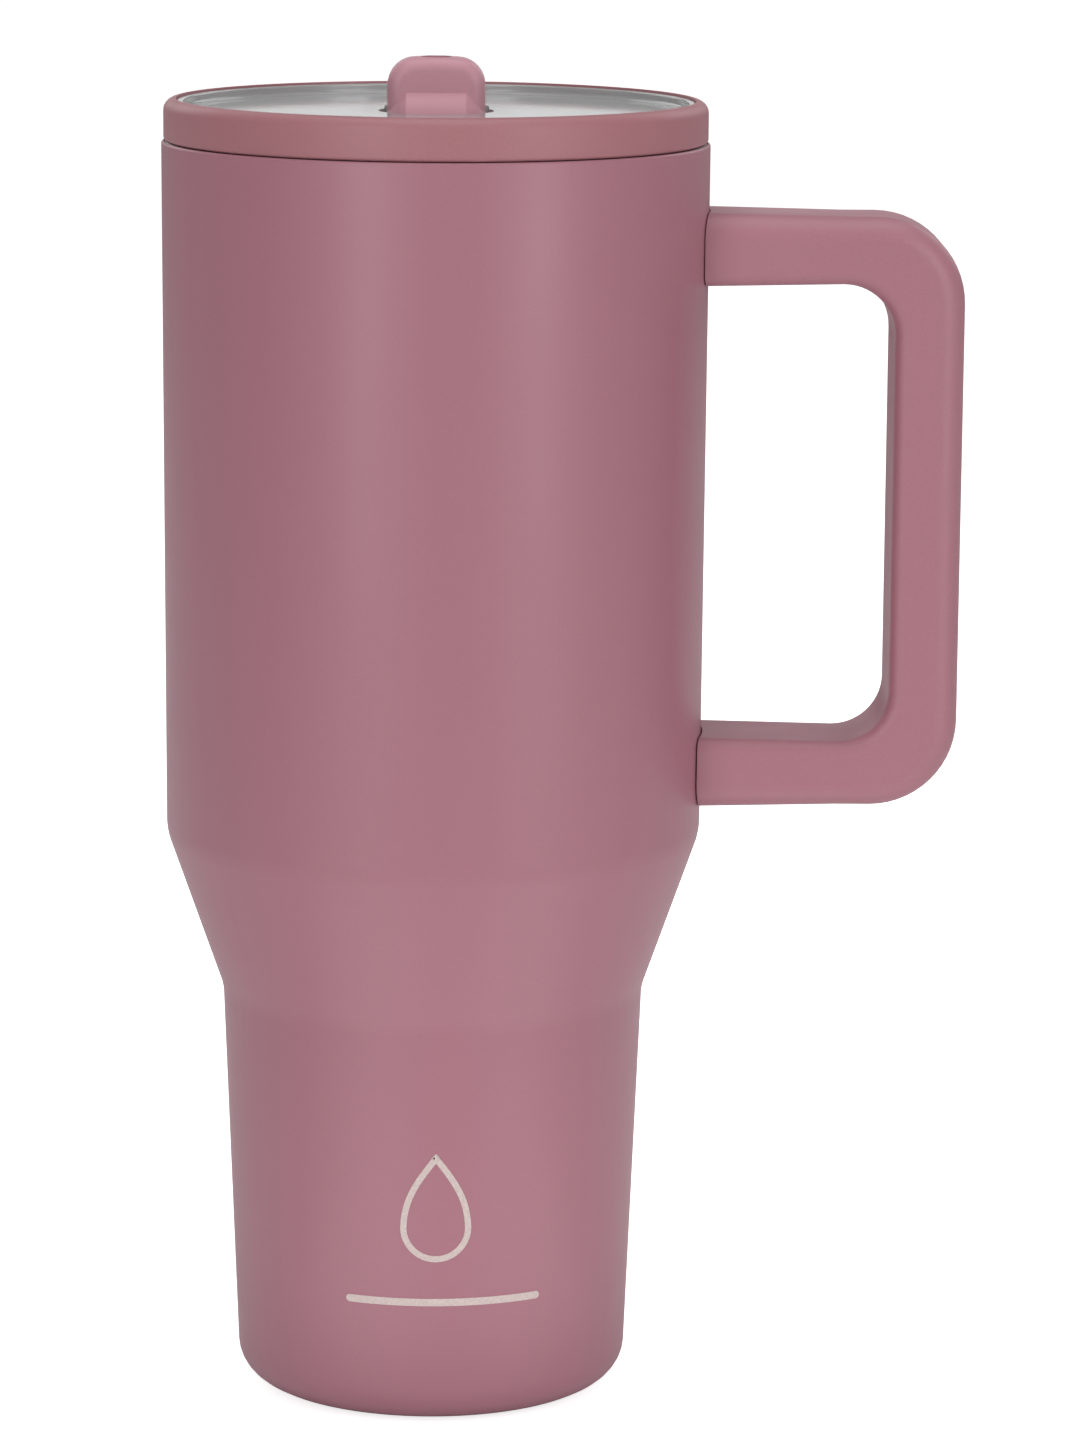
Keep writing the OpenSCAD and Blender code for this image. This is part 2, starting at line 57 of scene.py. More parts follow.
Tree = bpy.types.NodeTree
Node = bpy.types.Node
Socket = bpy.types.NodeSocket
Solid = bmesh.types.BMesh
Piece = bpy.types.Object
Nodes = dict[str, bpy.types.Object]
Inputs = dict[str | int, object]  # a node's inputs: a value, or the socket linked to each
Colour = tuple[float, float, float, float]
Triple = tuple[float, float, float]
Pair = tuple[float, float]

MM = 0.001
MERGE = 1e-4  # vertices closer than this, in mm, are one vertex
TOUCH = 0.01  # two lengths closer than this, in mm, count as the same
PAST = 1.0  # how far a cutting tool reaches past what it cuts, in mm
LIFT = 0.1  # clearance over a face that something sits on or starts from, in mm
SHARP_ANGLE = math.radians(34)  # faces that meet at more than this show a crease
BREAK_ANGLE = math.radians(40)  # edges sharper than this get a fine bevel
WHITE = (1.0, 1.0, 1.0, 1.0)
USUAL_SPAN = (0.3, 0.7)  # the values that most of a noise pattern lies between


class Body(Enum):
    """The rigid bodies that pieces ride on."""

    TUMBLER = "tumbler"
    LID = "lid"
    SPOUT = "spout"


class Slot(Enum):
    """The record's material slots."""

    POWDER_COAT = "powder_coat"
    LINER_STEEL = "liner_steel"
    FOOT_RUBBER = "foot_rubber"
    HANDLE_PLASTIC = "handle_plastic"
    LID_PLASTIC = "lid_plastic"
    CLEAR_PLASTIC = "clear_plastic"
    SILICONE = "silicone"


class Join(Enum):
    """How two solids are combined."""

    UNION = "UNION"
    CUT = "DIFFERENCE"
    OVERLAP = "INTERSECT"


# ---- Colours and shader nodes ----


def linear(code: str) -> Colour:
    """Turns an sRGB hex colour into the linear values that a shader takes.

    Args:
        code: Six hex digits, such as "A4707C".

    Returns:
        Red, green, blue and alpha, each from 0 to 1.
    """
    parts = [int(code[i : i + 2], 16) / 255 for i in (0, 2, 4)]
    toe, gain, offset, power = 0.04045, 12.92, 0.055, 2.4
    values = [p / gain if p <= toe else ((p + offset) / (1 + offset)) ** power for p in parts]
    return (*values, 1.0)


def add(tree: Tree, kind: str, inputs: Inputs | None = None, **settings: object) -> Node:
    """Adds a node with its settings, its values and its links.

    Args:
        tree: The node tree that it goes in.
        kind: The node's type, such as "ShaderNodeBump".
        inputs: For each input's name or number, a value, or the output socket linked to it.
        settings: Properties of the node itself.

    Returns:
        The new node.
    """
    node = tree.nodes.new(kind)
    for name, value in settings.items():
        setattr(node, name, value)
    for key, value in (inputs or {}).items():
        if isinstance(value, Socket):
            tree.links.new(value, node.inputs[key])
        else:
            node.inputs[key].default_value = value
    return node


def per_metre(size_mm: float) -> float:
    """Gives the texture scale at which one cell measures size_mm."""
    return 1 / (size_mm * MM)


def emptied(owner: bpy.types.Material | bpy.types.World) -> Tree:
    """Gives a material's or a world's node tree with nothing in it.

    Args:
        owner: The material or the world.

    Returns:
        Its node tree.
    """
    owner.use_nodes = True
    owner.node_tree.nodes.clear()
    return owner.node_tree


def staged(tree: Tree, seen: Socket, thrown: Socket) -> Socket:
    """Lets the studio look one way to the view and throw another light on the object.

    Args:
        tree: The node tree of the studio's floor or surround.
        seen: The shader that the view sees.
        thrown: The shader that lights the object.

    Returns:
        The shader's socket.
    """
    ray = add(tree, "ShaderNodeLightPath").outputs["Is Camera Ray"]
    return add(tree, "ShaderNodeMixShader", {0: ray, 1: thrown, 2: seen}).outputs[0]


@dataclass(frozen=True)
class Finish:
    """A surface finish. Each kind of finish fills in its own shader."""

    name: str

    def material(self) -> bpy.types.Material:
        """Gives the finish's material, made the first time that it is asked for.

        Returns:
            The material.
        """
        found = bpy.data.materials.get(self.name)
        if found is not None:
            return found
        made = bpy.data.materials.new(self.name)
        tree = emptied(made)
        place = add(tree, "ShaderNodeTexCoord").outputs["Object"]
        shader = add(tree, "ShaderNodeBsdfPrincipled", self.surface(tree, place))
        add(tree, "ShaderNodeOutputMaterial", {"Surface": shader.outputs["BSDF"]})
        return made

    def surface(self, tree: Tree, place: Socket) -> Inputs:
        """Gives what the finish's shader is fed.

        Args:
            tree: The material's node tree.
            place: The object coordinates.

        Returns:
            The Principled shader's inputs.
        """
        raise NotImplementedError

    def shades(
        self,
        tree: Tree,
        amount: Socket,
        low: str,
        high: str,
        span: Pair = USUAL_SPAN,
    ) -> Socket:
        """Spreads two colours over a pattern.

        Args:
            tree: The material's node tree.
            amount: The pattern, from 0 to 1.
            low: Hex colour of the pattern's low parts.
            high: Hex colour of its high parts.
            span: The pattern's values at which each colour is reached.

        Returns:
            The colour socket.
        """
        ramp = add(tree, "ShaderNodeValToRGB", {"Fac": amount})
        ends = ramp.color_ramp.elements
        ends[0].position, ends[1].position = span
        ends[0].color, ends[1].color = linear(low), linear(high)
        return ramp.outputs["Color"]

    def range(self, tree: Tree, amount: Socket, ends: Pair, span: Pair = USUAL_SPAN) -> Socket:
        """Spreads two values over a pattern.

        Args:
            tree: The material's node tree.
            amount: The pattern.
            ends: Value in the pattern's low parts and in its high parts.
            span: The pattern's values at which each end is reached.

        Returns:
            The value socket.
        """
        names = ("From Min", "From Max", "To Min", "To Max")
        values = dict(zip(names, (*span, *ends)))
        return add(tree, "ShaderNodeMapRange", {"Value": amount, **values}).outputs["Result"]

    def noise(
        self,
        tree: Tree,
        place: Socket,
        size_mm: float,
        detail: float = 2.0,
        roughness: float = 0.5,
    ) -> Socket:
        """Adds a cloudy pattern whose cells measure size_mm.

        Args:
            tree: The material's node tree.
            place: The coordinates that the pattern follows.
            size_mm: Size of a cell in millimetres.
            detail: How many finer layers it has.
            roughness: How strong the finer layers are.

        Returns:
            The pattern's value socket.
        """
        values = {"Scale": per_metre(size_mm), "Detail": detail, "Roughness": roughness}
        return add(tree, "ShaderNodeTexNoise", {"Vector": place, **values}).outputs["Fac"]

    def relief(self, tree: Tree, *layers: tuple[Socket, float]) -> Socket:
        """Stacks patterns into one bumped normal.

        Args:
            tree: The material's node tree.
            layers: Each pattern with its height in millimetres.

        Returns:
            The normal socket.
        """
        normal = None
        for height, depth_mm in layers:
            values = {"Height": height, "Distance": depth_mm * MM, "Strength": 1.0}
            if normal is not None:
                values["Normal"] = normal
            normal = add(tree, "ShaderNodeBump", values).outputs["Normal"]
        return normal


@dataclass(frozen=True)
class PowderCoat(Finish):
    """Satin polyester powder coat, sprayed as dust and baked on the steel.

    The eye sees a soft, low gloss with wide highlights, a faint orange peel where the powder
    flowed, and a fine grit in it.
    """

    low: str = "9B6673"
    high: str = "A16C79"
    grit_span: Pair = (0.25, 0.75)
    peel_mm: float = 0.9
    peel_depth_mm: float = 0.010
    # Real grit is about 0.05 mm; it is drawn coarser so that it shows at all.
    grit_mm: float = 0.28
    grit_depth_mm: float = 0.004
    cloud_mm: float = 24.0
    gloss: Pair = (0.39, 0.44)
    ior: float = 1.5
    clear_coat: float = 0.08
    clear_coat_gloss: float = 0.33

    def surface(self, tree: Tree, place: Socket) -> Inputs:
        """Gives the coat's colour, gloss and orange peel.

        Args:
            tree: The material's node tree.
            place: The object coordinates.

        Returns:
            The Principled shader's inputs.
        """
        peel = self.noise(tree, place, self.peel_mm, 2.0)
        grit = self.noise(tree, place, self.grit_mm, 3.0, 0.6)
        cloud = self.noise(tree, place, self.cloud_mm, 3.0)
        return {
            "Base Color": self.shades(tree, grit, self.low, self.high, self.grit_span),
            "Roughness": self.range(tree, cloud, self.gloss),
            "Normal": self.relief(tree, (peel, self.peel_depth_mm), (grit, self.grit_depth_mm)),
            "IOR": self.ior,
            "Coat Weight": self.clear_coat,
            "Coat Roughness": self.clear_coat_gloss,
        }


@dataclass(frozen=True)
class SatinPlastic(Finish):
    """Injection-moulded polypropylene with a spark-eroded mould texture.

    The eye sees a fine even grain that dulls the gloss. Its convex edges are painted a touch
    lighter: a painted highlight along the rounded edges.
    """

    low: str = "9D6975"
    high: str = "A56F7B"
    # The colour that convex edges are painted in: a painted highlight, not wear.
    painted_edge_highlight: str = "B2808A"
    grain_span: Pair = (0.25, 0.75)
    # The mould's real grain is about 0.1 mm; it is drawn coarser so that it shows.
    grain_mm: float = 0.35
    grain_depth_mm: float = 0.006
    flow_mm: float = 14.0
    edge_span: Pair = (0.52, 0.62)
    gloss: Pair = (0.42, 0.50)
    ior: float = 1.49

    def surface(self, tree: Tree, place: Socket) -> Inputs:
        """Gives the plastic's colour, its grain and the painted highlight on its convex edges.

        Args:
            tree: The material's node tree.
            place: The object coordinates.

        Returns:
            The Principled shader's inputs.
        """
        grain = self.noise(tree, place, self.grain_mm, 3.0, 0.6)
        flow = self.noise(tree, place, self.flow_mm, 2.0)
        tint = self.shades(tree, grain, self.low, self.high, self.grain_span)
        # Convex edges are painted lighter, towards the edge colour: a painted highlight where
        # light catches the rounded edges.
        edges = add(tree, "ShaderNodeNewGeometry").outputs["Pointiness"]
        edge_highlight_mask = self.range(tree, edges, (0.0, 1.0), self.edge_span)
        share = add(tree, "ShaderNodeMath", {0: edge_highlight_mask, 1: flow}, operation="MULTIPLY").outputs[0]
        colours = {0: share, 6: tint, 7: linear(self.painted_edge_highlight)}
        return {
            "Base Color": add(tree, "ShaderNodeMix", colours, data_type="RGBA").outputs[2],
            "Roughness": self.range(tree, flow, self.gloss),
            "Normal": self.relief(tree, (grain, self.grain_depth_mm)),
            "IOR": self.ior,
        }


@dataclass(frozen=True)
class ClearPlastic(Finish):
    """Clear copolyester, moulded in a polished mould.

    The eye sees glassiness with soft reflections, a faint grey tint and the slow waves of the
    moulding. The share that is not clear is a near-white milkiness, a painted reflection that
    brightens the plastic as its grazing reflections do.
    """

    tint: str = "EEF0F0"
    gloss: Pair = (0.07, 0.12)
    # Below 1, the rest shows as near-white milkiness: a painted reflection that brightens the
    # plate.
    clarity: float = 0.68
    wave_mm: float = 9.0
    wave_depth_mm: float = 0.02
    haze_mm: float = 1.2
    ior: float = 1.5

    def surface(self, tree: Tree, place: Socket) -> Inputs:
        """Gives the plastic's clarity and waves.

        Args:
            tree: The material's node tree.
            place: The object coordinates.

        Returns:
            The Principled shader's inputs.
        """
        wave = self.noise(tree, place, self.wave_mm, 1.0)
        haze = self.noise(tree, place, self.haze_mm, 3.0)
        return {
            "Base Color": linear(self.tint),
            "Roughness": self.range(tree, haze, self.gloss),
            "Normal": self.relief(tree, (wave, self.wave_depth_mm)),
            "Transmission Weight": self.clarity,
            "IOR": self.ior,
        }


@dataclass(frozen=True)
class TurnedSteel(Finish):
    """18/8 stainless steel, drawn and then brushed while it turns.

    The eye sees fine rings round the axis that stretch each highlight along them.
    """

    low: str = "A9A9AB"
    high: str = "C4C4C5"
    # The real brush lines are about 0.05 mm apart; they are drawn coarser so that they show.
    line_mm: float = 0.35
    line_depth_mm: float = 0.006
    stain_mm: float = 30.0
    gloss: Pair = (0.28, 0.36)

    def surface(self, tree: Tree, place: Socket) -> Inputs:
        """Gives the metal's colour and its brushed rings.

        Args:
            tree: The material's node tree.
            place: The object coordinates.

        Returns:
            The Principled shader's inputs.
        """
        x, y, z = add(tree, "ShaderNodeSeparateXYZ", {"Vector": place}).outputs
        across = add(tree, "ShaderNodeCombineXYZ", {0: x, 1: y}).outputs[0]
        length = add(tree, "ShaderNodeVectorMath", {0: across}, operation="LENGTH")
        rings = add(tree, "ShaderNodeCombineXYZ", {0: length.outputs["Value"], 1: z}).outputs[0]
        lines = self.noise(tree, rings, self.line_mm, 3.0, 0.7)
        stain = self.noise(tree, place, self.stain_mm, 3.0)
        return {
            "Base Color": self.shades(tree, lines, self.low, self.high),
            "Roughness": self.range(tree, stain, self.gloss),
            "Normal": self.relief(tree, (lines, self.line_depth_mm)),
            "Metallic": 1.0,
        }


@dataclass(frozen=True)
class PlainMetal(Finish):
    """Metal, or a hard glassy solder, as it left the press, the mill or the furnace.

    The eye sees a colour of its own, a mill grain and, on foil, the crumples of the wrapping.
    """

    low: str = "8E8E90"
    high: str = "B0B0B2"
    grain_mm: float = 0.5
    grain_depth_mm: float = 0.004
    crumple_mm: float = 8.0
    crumple_depth_mm: float = 0.0
    roughness: float = 0.35
    roughness_spread: float = 0.12
    metallic: float = 1.0

    def surface(self, tree: Tree, place: Socket) -> Inputs:
        """Gives the metal's colour, grain and crumples.

        Args:
            tree: The material's node tree.
            place: The object coordinates.

        Returns:
            The Principled shader's inputs.
        """
        grain = self.noise(tree, place, self.grain_mm, 3.0, 0.6)
        cells = {"Vector": place, "Scale": per_metre(self.crumple_mm)}
        fold = add(tree, "ShaderNodeTexVoronoi", cells).outputs["Distance"]
        gloss = (self.roughness, self.roughness + self.roughness_spread)
        layers = ((grain, self.grain_depth_mm), (fold, self.crumple_depth_mm))
        return {
            "Base Color": self.shades(tree, grain, self.low, self.high),
            "Roughness": self.range(tree, grain, gloss),
            "Normal": self.relief(tree, *layers),
            "Metallic": self.metallic,
        }


@dataclass(frozen=True)
class Rubber(Finish):
    """Moulded silicone rubber.

    The eye sees a dull, slightly milky skin with a fine matt grain and a trace of dust.
    """

    low: str = "C9C7C2"
    high: str = "D6D4D0"
    grain_mm: float = 0.4
    grain_depth_mm: float = 0.012
    dust_mm: float = 5.0
    gloss: Pair = (0.55, 0.70)
    ior: float = 1.41
    depth_glow: float = 0.25
    glow_mm: float = 1.5

    def surface(self, tree: Tree, place: Socket) -> Inputs:
        """Gives the rubber's colour, grain and milkiness.

        Args:
            tree: The material's node tree.
            place: The object coordinates.

        Returns:
            The Principled shader's inputs.
        """
        grain = self.noise(tree, place, self.grain_mm, 3.0, 0.6)
        dust = self.noise(tree, place, self.dust_mm, 4.0)
        return {
            "Base Color": self.shades(tree, dust, self.low, self.high),
            "Roughness": self.range(tree, dust, self.gloss),
            "Normal": self.relief(tree, (grain, self.grain_depth_mm)),
            "IOR": self.ior,
            "Subsurface Weight": self.depth_glow,
            "Subsurface Scale": self.glow_mm * MM,
        }


@dataclass(frozen=True)
class PrintInk(Finish):
    """Screen-printed epoxy ink.

    The eye sees a pale, chalky film with pinholes where the coat's grain shows through.
    """

    low: str = "BBA9A5"
    high: str = "CFC0BB"
    grain_mm: float = 0.45
    grain_depth_mm: float = 0.006
    gloss: Pair = (0.45, 0.60)
    ior: float = 1.5

    def surface(self, tree: Tree, place: Socket) -> Inputs:
        """Gives the ink's colour and its chalky grain.

        Args:
            tree: The material's node tree.
            place: The object coordinates.

        Returns:
            The Principled shader's inputs.
        """
        grain = self.noise(tree, place, self.grain_mm, 4.0, 0.65)
        return {
            "Base Color": self.shades(tree, grain, self.low, self.high),
            "Roughness": self.range(tree, grain, self.gloss),
            "Normal": self.relief(tree, (grain, self.grain_depth_mm)),
            "IOR": self.ior,
        }


POWDER_COAT = PowderCoat("powder_coat_satin_pink")
HANDLE_PLASTIC = SatinPlastic("polypropylene_satin_pink_handle")
LID_PLASTIC = SatinPlastic(
    "polypropylene_satin_pink_lid", low="9B666D", high="A26C72", painted_edge_highlight="B07C82"
)
# The spout is the lid's pink plastic painted lighter: painted light for the light that falls on
# the tab from above.
LIT_SPOUT_PLASTIC = SatinPlastic(
    "polypropylene_satin_pink_spout_painted_lighter", low="BA8692", high="C18C98", painted_edge_highlight="C898A2"
)
CLEAR_PLASTIC = ClearPlastic("copolyester_clear")
STRAW_PLASTIC = ClearPlastic("copolyester_clear_straw", tint="E4EAEB", gloss=(0.10, 0.15))
LINER_STEEL = TurnedSteel("stainless_steel_brushed")
RIM_STEEL = PlainMetal("stainless_steel_plain", roughness=0.24)
COPPER_FOIL = PlainMetal(
    "copper_foil", low="B5714E", high="C98A66", crumple_mm=6.0, crumple_depth_mm=0.25
)
GETTER_ALLOY = PlainMetal(
    "getter_alloy_sintered", low="3A3A3B", high="5A5A5C", grain_mm=0.3, roughness=0.7
)
GLASS_SOLDER = PlainMetal(
    "glass_solder", low="33342F", high="4B4C45", grain_mm=1.2, roughness=0.18, metallic=0.0
)
FOOT_RUBBER = Rubber("silicone_rubber_grey", low="B9B4B1", high="C9C5C2", depth_glow=0.1)
SILICONE = Rubber("silicone_rubber_milky")
PRINT_INK = PrintInk("epoxy_print_ink_cream")


# ---- Shapes ----


@dataclass(frozen=True)
class Corner:
    """A corner of an outline: its radius from the axis, its height and its rounding."""

    r: float
    z: float
    rounding: float = 0.0


def inset(line: list[Corner], depth: float) -> list[Corner]:
    """Moves an open outline to its left, with its roundings kept parallel.

    Args:
        line: The outline's corners.
        depth: How far it moves; below zero it moves to its right.

    Returns:
        The moved corners.
    """
    steps = [Vector((b.r - a.r, b.z - a.z)).normalized() for a, b in zip(line, line[1:])]
    sides = [Vector((-step.y, step.x)) for step in steps]
    moved = []
    for i, corner in enumerate(line):
        before, after = sides[max(i - 1, 0)], sides[min(i, len(sides) - 1)]
        shift = (before + after) * depth / (1 + before.dot(after))
        bend = before.x * after.y - before.y * after.x
        rounding = corner.rounding - math.copysign(depth, bend) if corner.rounding else 0.0
        moved.append(Corner(corner.r + shift.x, corner.z + shift.y, max(rounding, 0.0)))
    return moved


def drawn(corners: list[Corner], closed: bool, segments: int = 6) -> Solid:
    """Draws an outline in the XZ plane and rounds its corners.

    Args:
        corners: The outline, with X as r.
        closed: Whether its last corner joins its first.
        segments: Steps in each rounded corner.

    Returns:
        A mesh of vertices and edges.
    """
    bm = bmesh.new()
    verts = [bm.verts.new((c.r, 0, c.z)) for c in corners]
    for a, b in zip(verts, verts[1:] + (verts[:1] if closed else [])):
        bm.edges.new((a, b))
    points = [v.co.copy() for v in verts]
    for i, corner in enumerate(corners):
        if corner.rounding <= 0:
            continue
        arms = [points[i - 1] - points[i], points[(i + 1) % len(points)] - points[i]]
        bmesh.ops.bevel(
            bm,
            geom=[verts[i]],
            offset=corner.rounding / math.tan(arms[0].angle(arms[1]) / 2),
            offset_type="OFFSET",
            segments=segments,
            profile=0.5,
            affect="VERTICES",
            material=-1,
        )
    return bm


def turned(
    corners: list[Corner], closed: bool = True, steps: int = 192, segments: int = 6
) -> Solid:
    """Turns an outline round the Z axis.

    Args:
        corners: The outline's corners.
        closed: Whether it is a ring; an open one starts and ends on the axis.
        steps: Facets in a full turn.
        segments: Steps in each rounded corner.

    Returns:
        The turned solid.
    """
    bm = drawn(corners, closed, segments)
    bmesh.ops.spin(
        bm,
        geom=list(bm.verts) + list(bm.edges),
        cent=(0, 0, 0),
        axis=(0, 0, 1),
        dvec=(0, 0, 0),
        angle=math.tau,
        steps=steps,
        use_merge=True,
        use_duplicate=False,
    )
    return cleaned(bm)


def slab(corners: list[Corner], low_y: float, high_y: float, segments: int = 8) -> Solid:
    """Makes a slab from an outline in the XZ plane.

    Args:
        corners: The outline's corners, with X as r.
        low_y: Where the slab starts.
        high_y: Where it ends.
        segments: Steps in each rounded corner.

    Returns:
        The slab.
    """
    bm = drawn(corners, True, segments)
    bmesh.ops.contextual_create(bm, geom=list(bm.edges))
    return cleaned(thickened(shifted(bm, y=low_y), high_y - low_y))


def shifted(bm: Solid, x: float = 0.0, y: float = 0.0, z: float = 0.0) -> Solid:
    """Moves a whole solid."""
    bmesh.ops.translate(bm, vec=(x, y, z), verts=bm.verts)
    return bm


def thickened(bm: Solid, depth: float) -> Solid:
    """Gives a flat face in the XZ plane a thickness.

    Args:
        bm: The face.
        depth: How far it grows along Y.

    Returns:
        The same shape, now solid.
    """
    grown = bmesh.ops.extrude_face_region(bm, geom=list(bm.faces))["geom"]
    ends = [item for item in grown if isinstance(item, bmesh.types.BMVert)]
    bmesh.ops.translate(bm, vec=(0, depth, 0), verts=ends)
    return bm


def box(lowest: Triple, highest: Triple) -> Solid:
    """Makes a block between two corners.

    Args:
        lowest: The corner with the lowest coordinates.
        highest: The corner with the highest ones.

    Returns:
        The block.
    """
    bm = bmesh.new()
    bmesh.ops.create_cube(bm, size=1)
    start, end = Vector(lowest), Vector(highest)
    bmesh.ops.scale(bm, vec=end - start, verts=bm.verts)
    bmesh.ops.translate(bm, vec=(start + end) / 2, verts=bm.verts)
    return bm


def rod(radius: float, start: Triple, end: Triple, steps: int) -> Solid:
    """Makes a round rod.

    Args:
        radius: The rod's radius.
        start: Middle of one end.
        end: Middle of the other end.
        steps: Facets round it.

    Returns:
        The rod.
    """
    bm = bmesh.new()
    line = Vector(end) - Vector(start)
    bmesh.ops.create_cone(
        bm,
        cap_ends=True,
        segments=steps,
        radius1=radius,
        radius2=radius,
        depth=line.length,
        matrix=Matrix.Translation((Vector(start) + Vector(end)) / 2)
        @ line.to_track_quat("Z", "Y").to_matrix().to_4x4(),
    )
    return bm


def as_mesh(bm: Solid, name: str) -> bpy.types.Mesh:
    """Turns a solid into a mesh.

    Args:
        bm: The solid, which is freed.
        name: The mesh's name.

    Returns:
        The mesh.
    """
    mesh = bpy.data.meshes.new(name)
    bm.to_mesh(mesh)
    bm.free()
    return mesh


def placed(name: str, data: bpy.types.ID) -> Piece:
    """Makes an object and puts it in the scene.

    Args:
        name: The object's name.
        data: Its mesh, lamp or camera.

    Returns:
        The object.
    """
    made = bpy.data.objects.new(name, data)
    bpy.context.scene.collection.objects.link(made)
    return made


def cleaned(bm: Solid) -> Solid:
    """Merges doubled vertices and turns every face outwards.

    Args:
        bm: The solid.

    Returns:
        The same solid.
    """
    bmesh.ops.remove_doubles(bm, verts=bm.verts, dist=MERGE)
    bmesh.ops.recalc_face_normals(bm, faces=bm.faces)
    return bm


def combined(first: Solid, second: Solid, how: Join) -> Solid:
    """Combines two closed solids and frees them.

    Args:
        first: The solid that is kept or cut.
        second: The solid that joins or cuts it.
        how: What is done with them.

    Returns:
        The combined solid.
    """
    objects = [placed("shape", as_mesh(shape, "shape")) for shape in (first, second)]
    step = objects[0].modifiers.new("combine", "BOOLEAN")
    step.operation, step.solver, step.object = how.value, "EXACT", objects[1]
    bpy.context.view_layer.update()
    result = bmesh.new()
    result.from_object(objects[0], bpy.context.evaluated_depsgraph_get())
    for item in objects:
        mesh = item.data
        bpy.data.objects.remove(item)
        bpy.data.meshes.remove(mesh)
    bmesh.ops.remove_doubles(result, verts=result.verts, dist=MERGE)
    return result


def cut(bm: Solid, *tools: Solid) -> Solid:
    """Cuts closed solids out of another one.

    Args:
        bm: The solid that is cut, which is freed.
        tools: The solids that cut it, in their order, which are freed.

    Returns:
        What is left.
    """
    for tool in tools:
        bm = combined(bm, tool, Join.CUT)
    return bm


def bevelled(bm: Solid, edges: list[bmesh.types.BMEdge], radius: float) -> Solid:
    """Rounds edges of a solid in seven steps.

    Args:
        bm: The solid.
        edges: Its edges to round.
        radius: How far from each edge the rounding starts.

    Returns:
        The same solid.
    """
    bmesh.ops.bevel(
        bm,
        geom=edges,
        offset=radius,
        offset_type="OFFSET",
        segments=7,
        profile=0.5,
        affect="EDGES",
        material=-1,
        clamp_overlap=True,
    )
    return bm


def piece(bm: Solid, name: str, body: Body, slot: Slot, finish: Finish, *nodes: str) -> Piece:
    """Makes a finished piece from a solid in millimetres.

    Args:
        bm: The solid, which is freed.
        name: The piece's name.
        body: The body that it rides on.
        slot: The record's slot for its finish; not used.
        finish: Its finish.
        nodes: The CAD nodes that it stands for.

    Returns:
        The piece.
    """
    bmesh.ops.scale(bm, vec=(MM, MM, MM), verts=bm.verts)
    for face in bm.faces:
        face.smooth = True
    for edge in bm.edges:
        edge.smooth = len(edge.link_faces) == 2 and edge.calc_face_angle() < SHARP_ANGLE
    mesh = as_mesh(bm, name)
    made = placed(name, mesh)
    mesh.materials.append(finish.material())
    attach(made, body.value)
    if nodes:
        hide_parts(*nodes)
    log.info("%s: %d faces, rides on %s", name, len(mesh.polygons), body.value)
    return made


def softened(made: Piece, width: float) -> Piece:
    """Breaks a piece's sharp edges with a live bevel.

    Args:
        made: The piece.
        width: Width of the bevel in millimetres.

    Returns:
        The same piece.
    """
    edge = made.modifiers.new("broken edges", "BEVEL")
    edge.width, edge.segments = width * MM, 2
    edge.limit_method, edge.angle_limit = "ANGLE", BREAK_ANGLE
    edge.use_clamp_overlap = True
    edge.miter_outer = "MITER_ARC"
    made.modifiers.new("even shading", "WEIGHTED_NORMAL").keep_sharp = True
    return made


def dress(nodes: Nodes, finish: Finish, *names: str) -> None:
    """Gives CAD nodes that stay as they are a better finish.

    Args:
        nodes: The CAD nodes by name.
        finish: The finish.
        names: The nodes that get it.
    """
    for name in names:
        slots = nodes[name].data.materials
        for i in range(len(slots)):
            slots[i] = finish.material()
        log.info("%s: dressed in %s", name, finish.name)


def low(node: str) -> Vector:
    """Gives a CAD node's lowest corner in millimetres."""
    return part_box(node)[0] / MM


def high(node: str) -> Vector:
    """Gives a CAD node's highest corner in millimetres."""
    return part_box(node)[1] / MM


# ---- Sub-assemblies ----


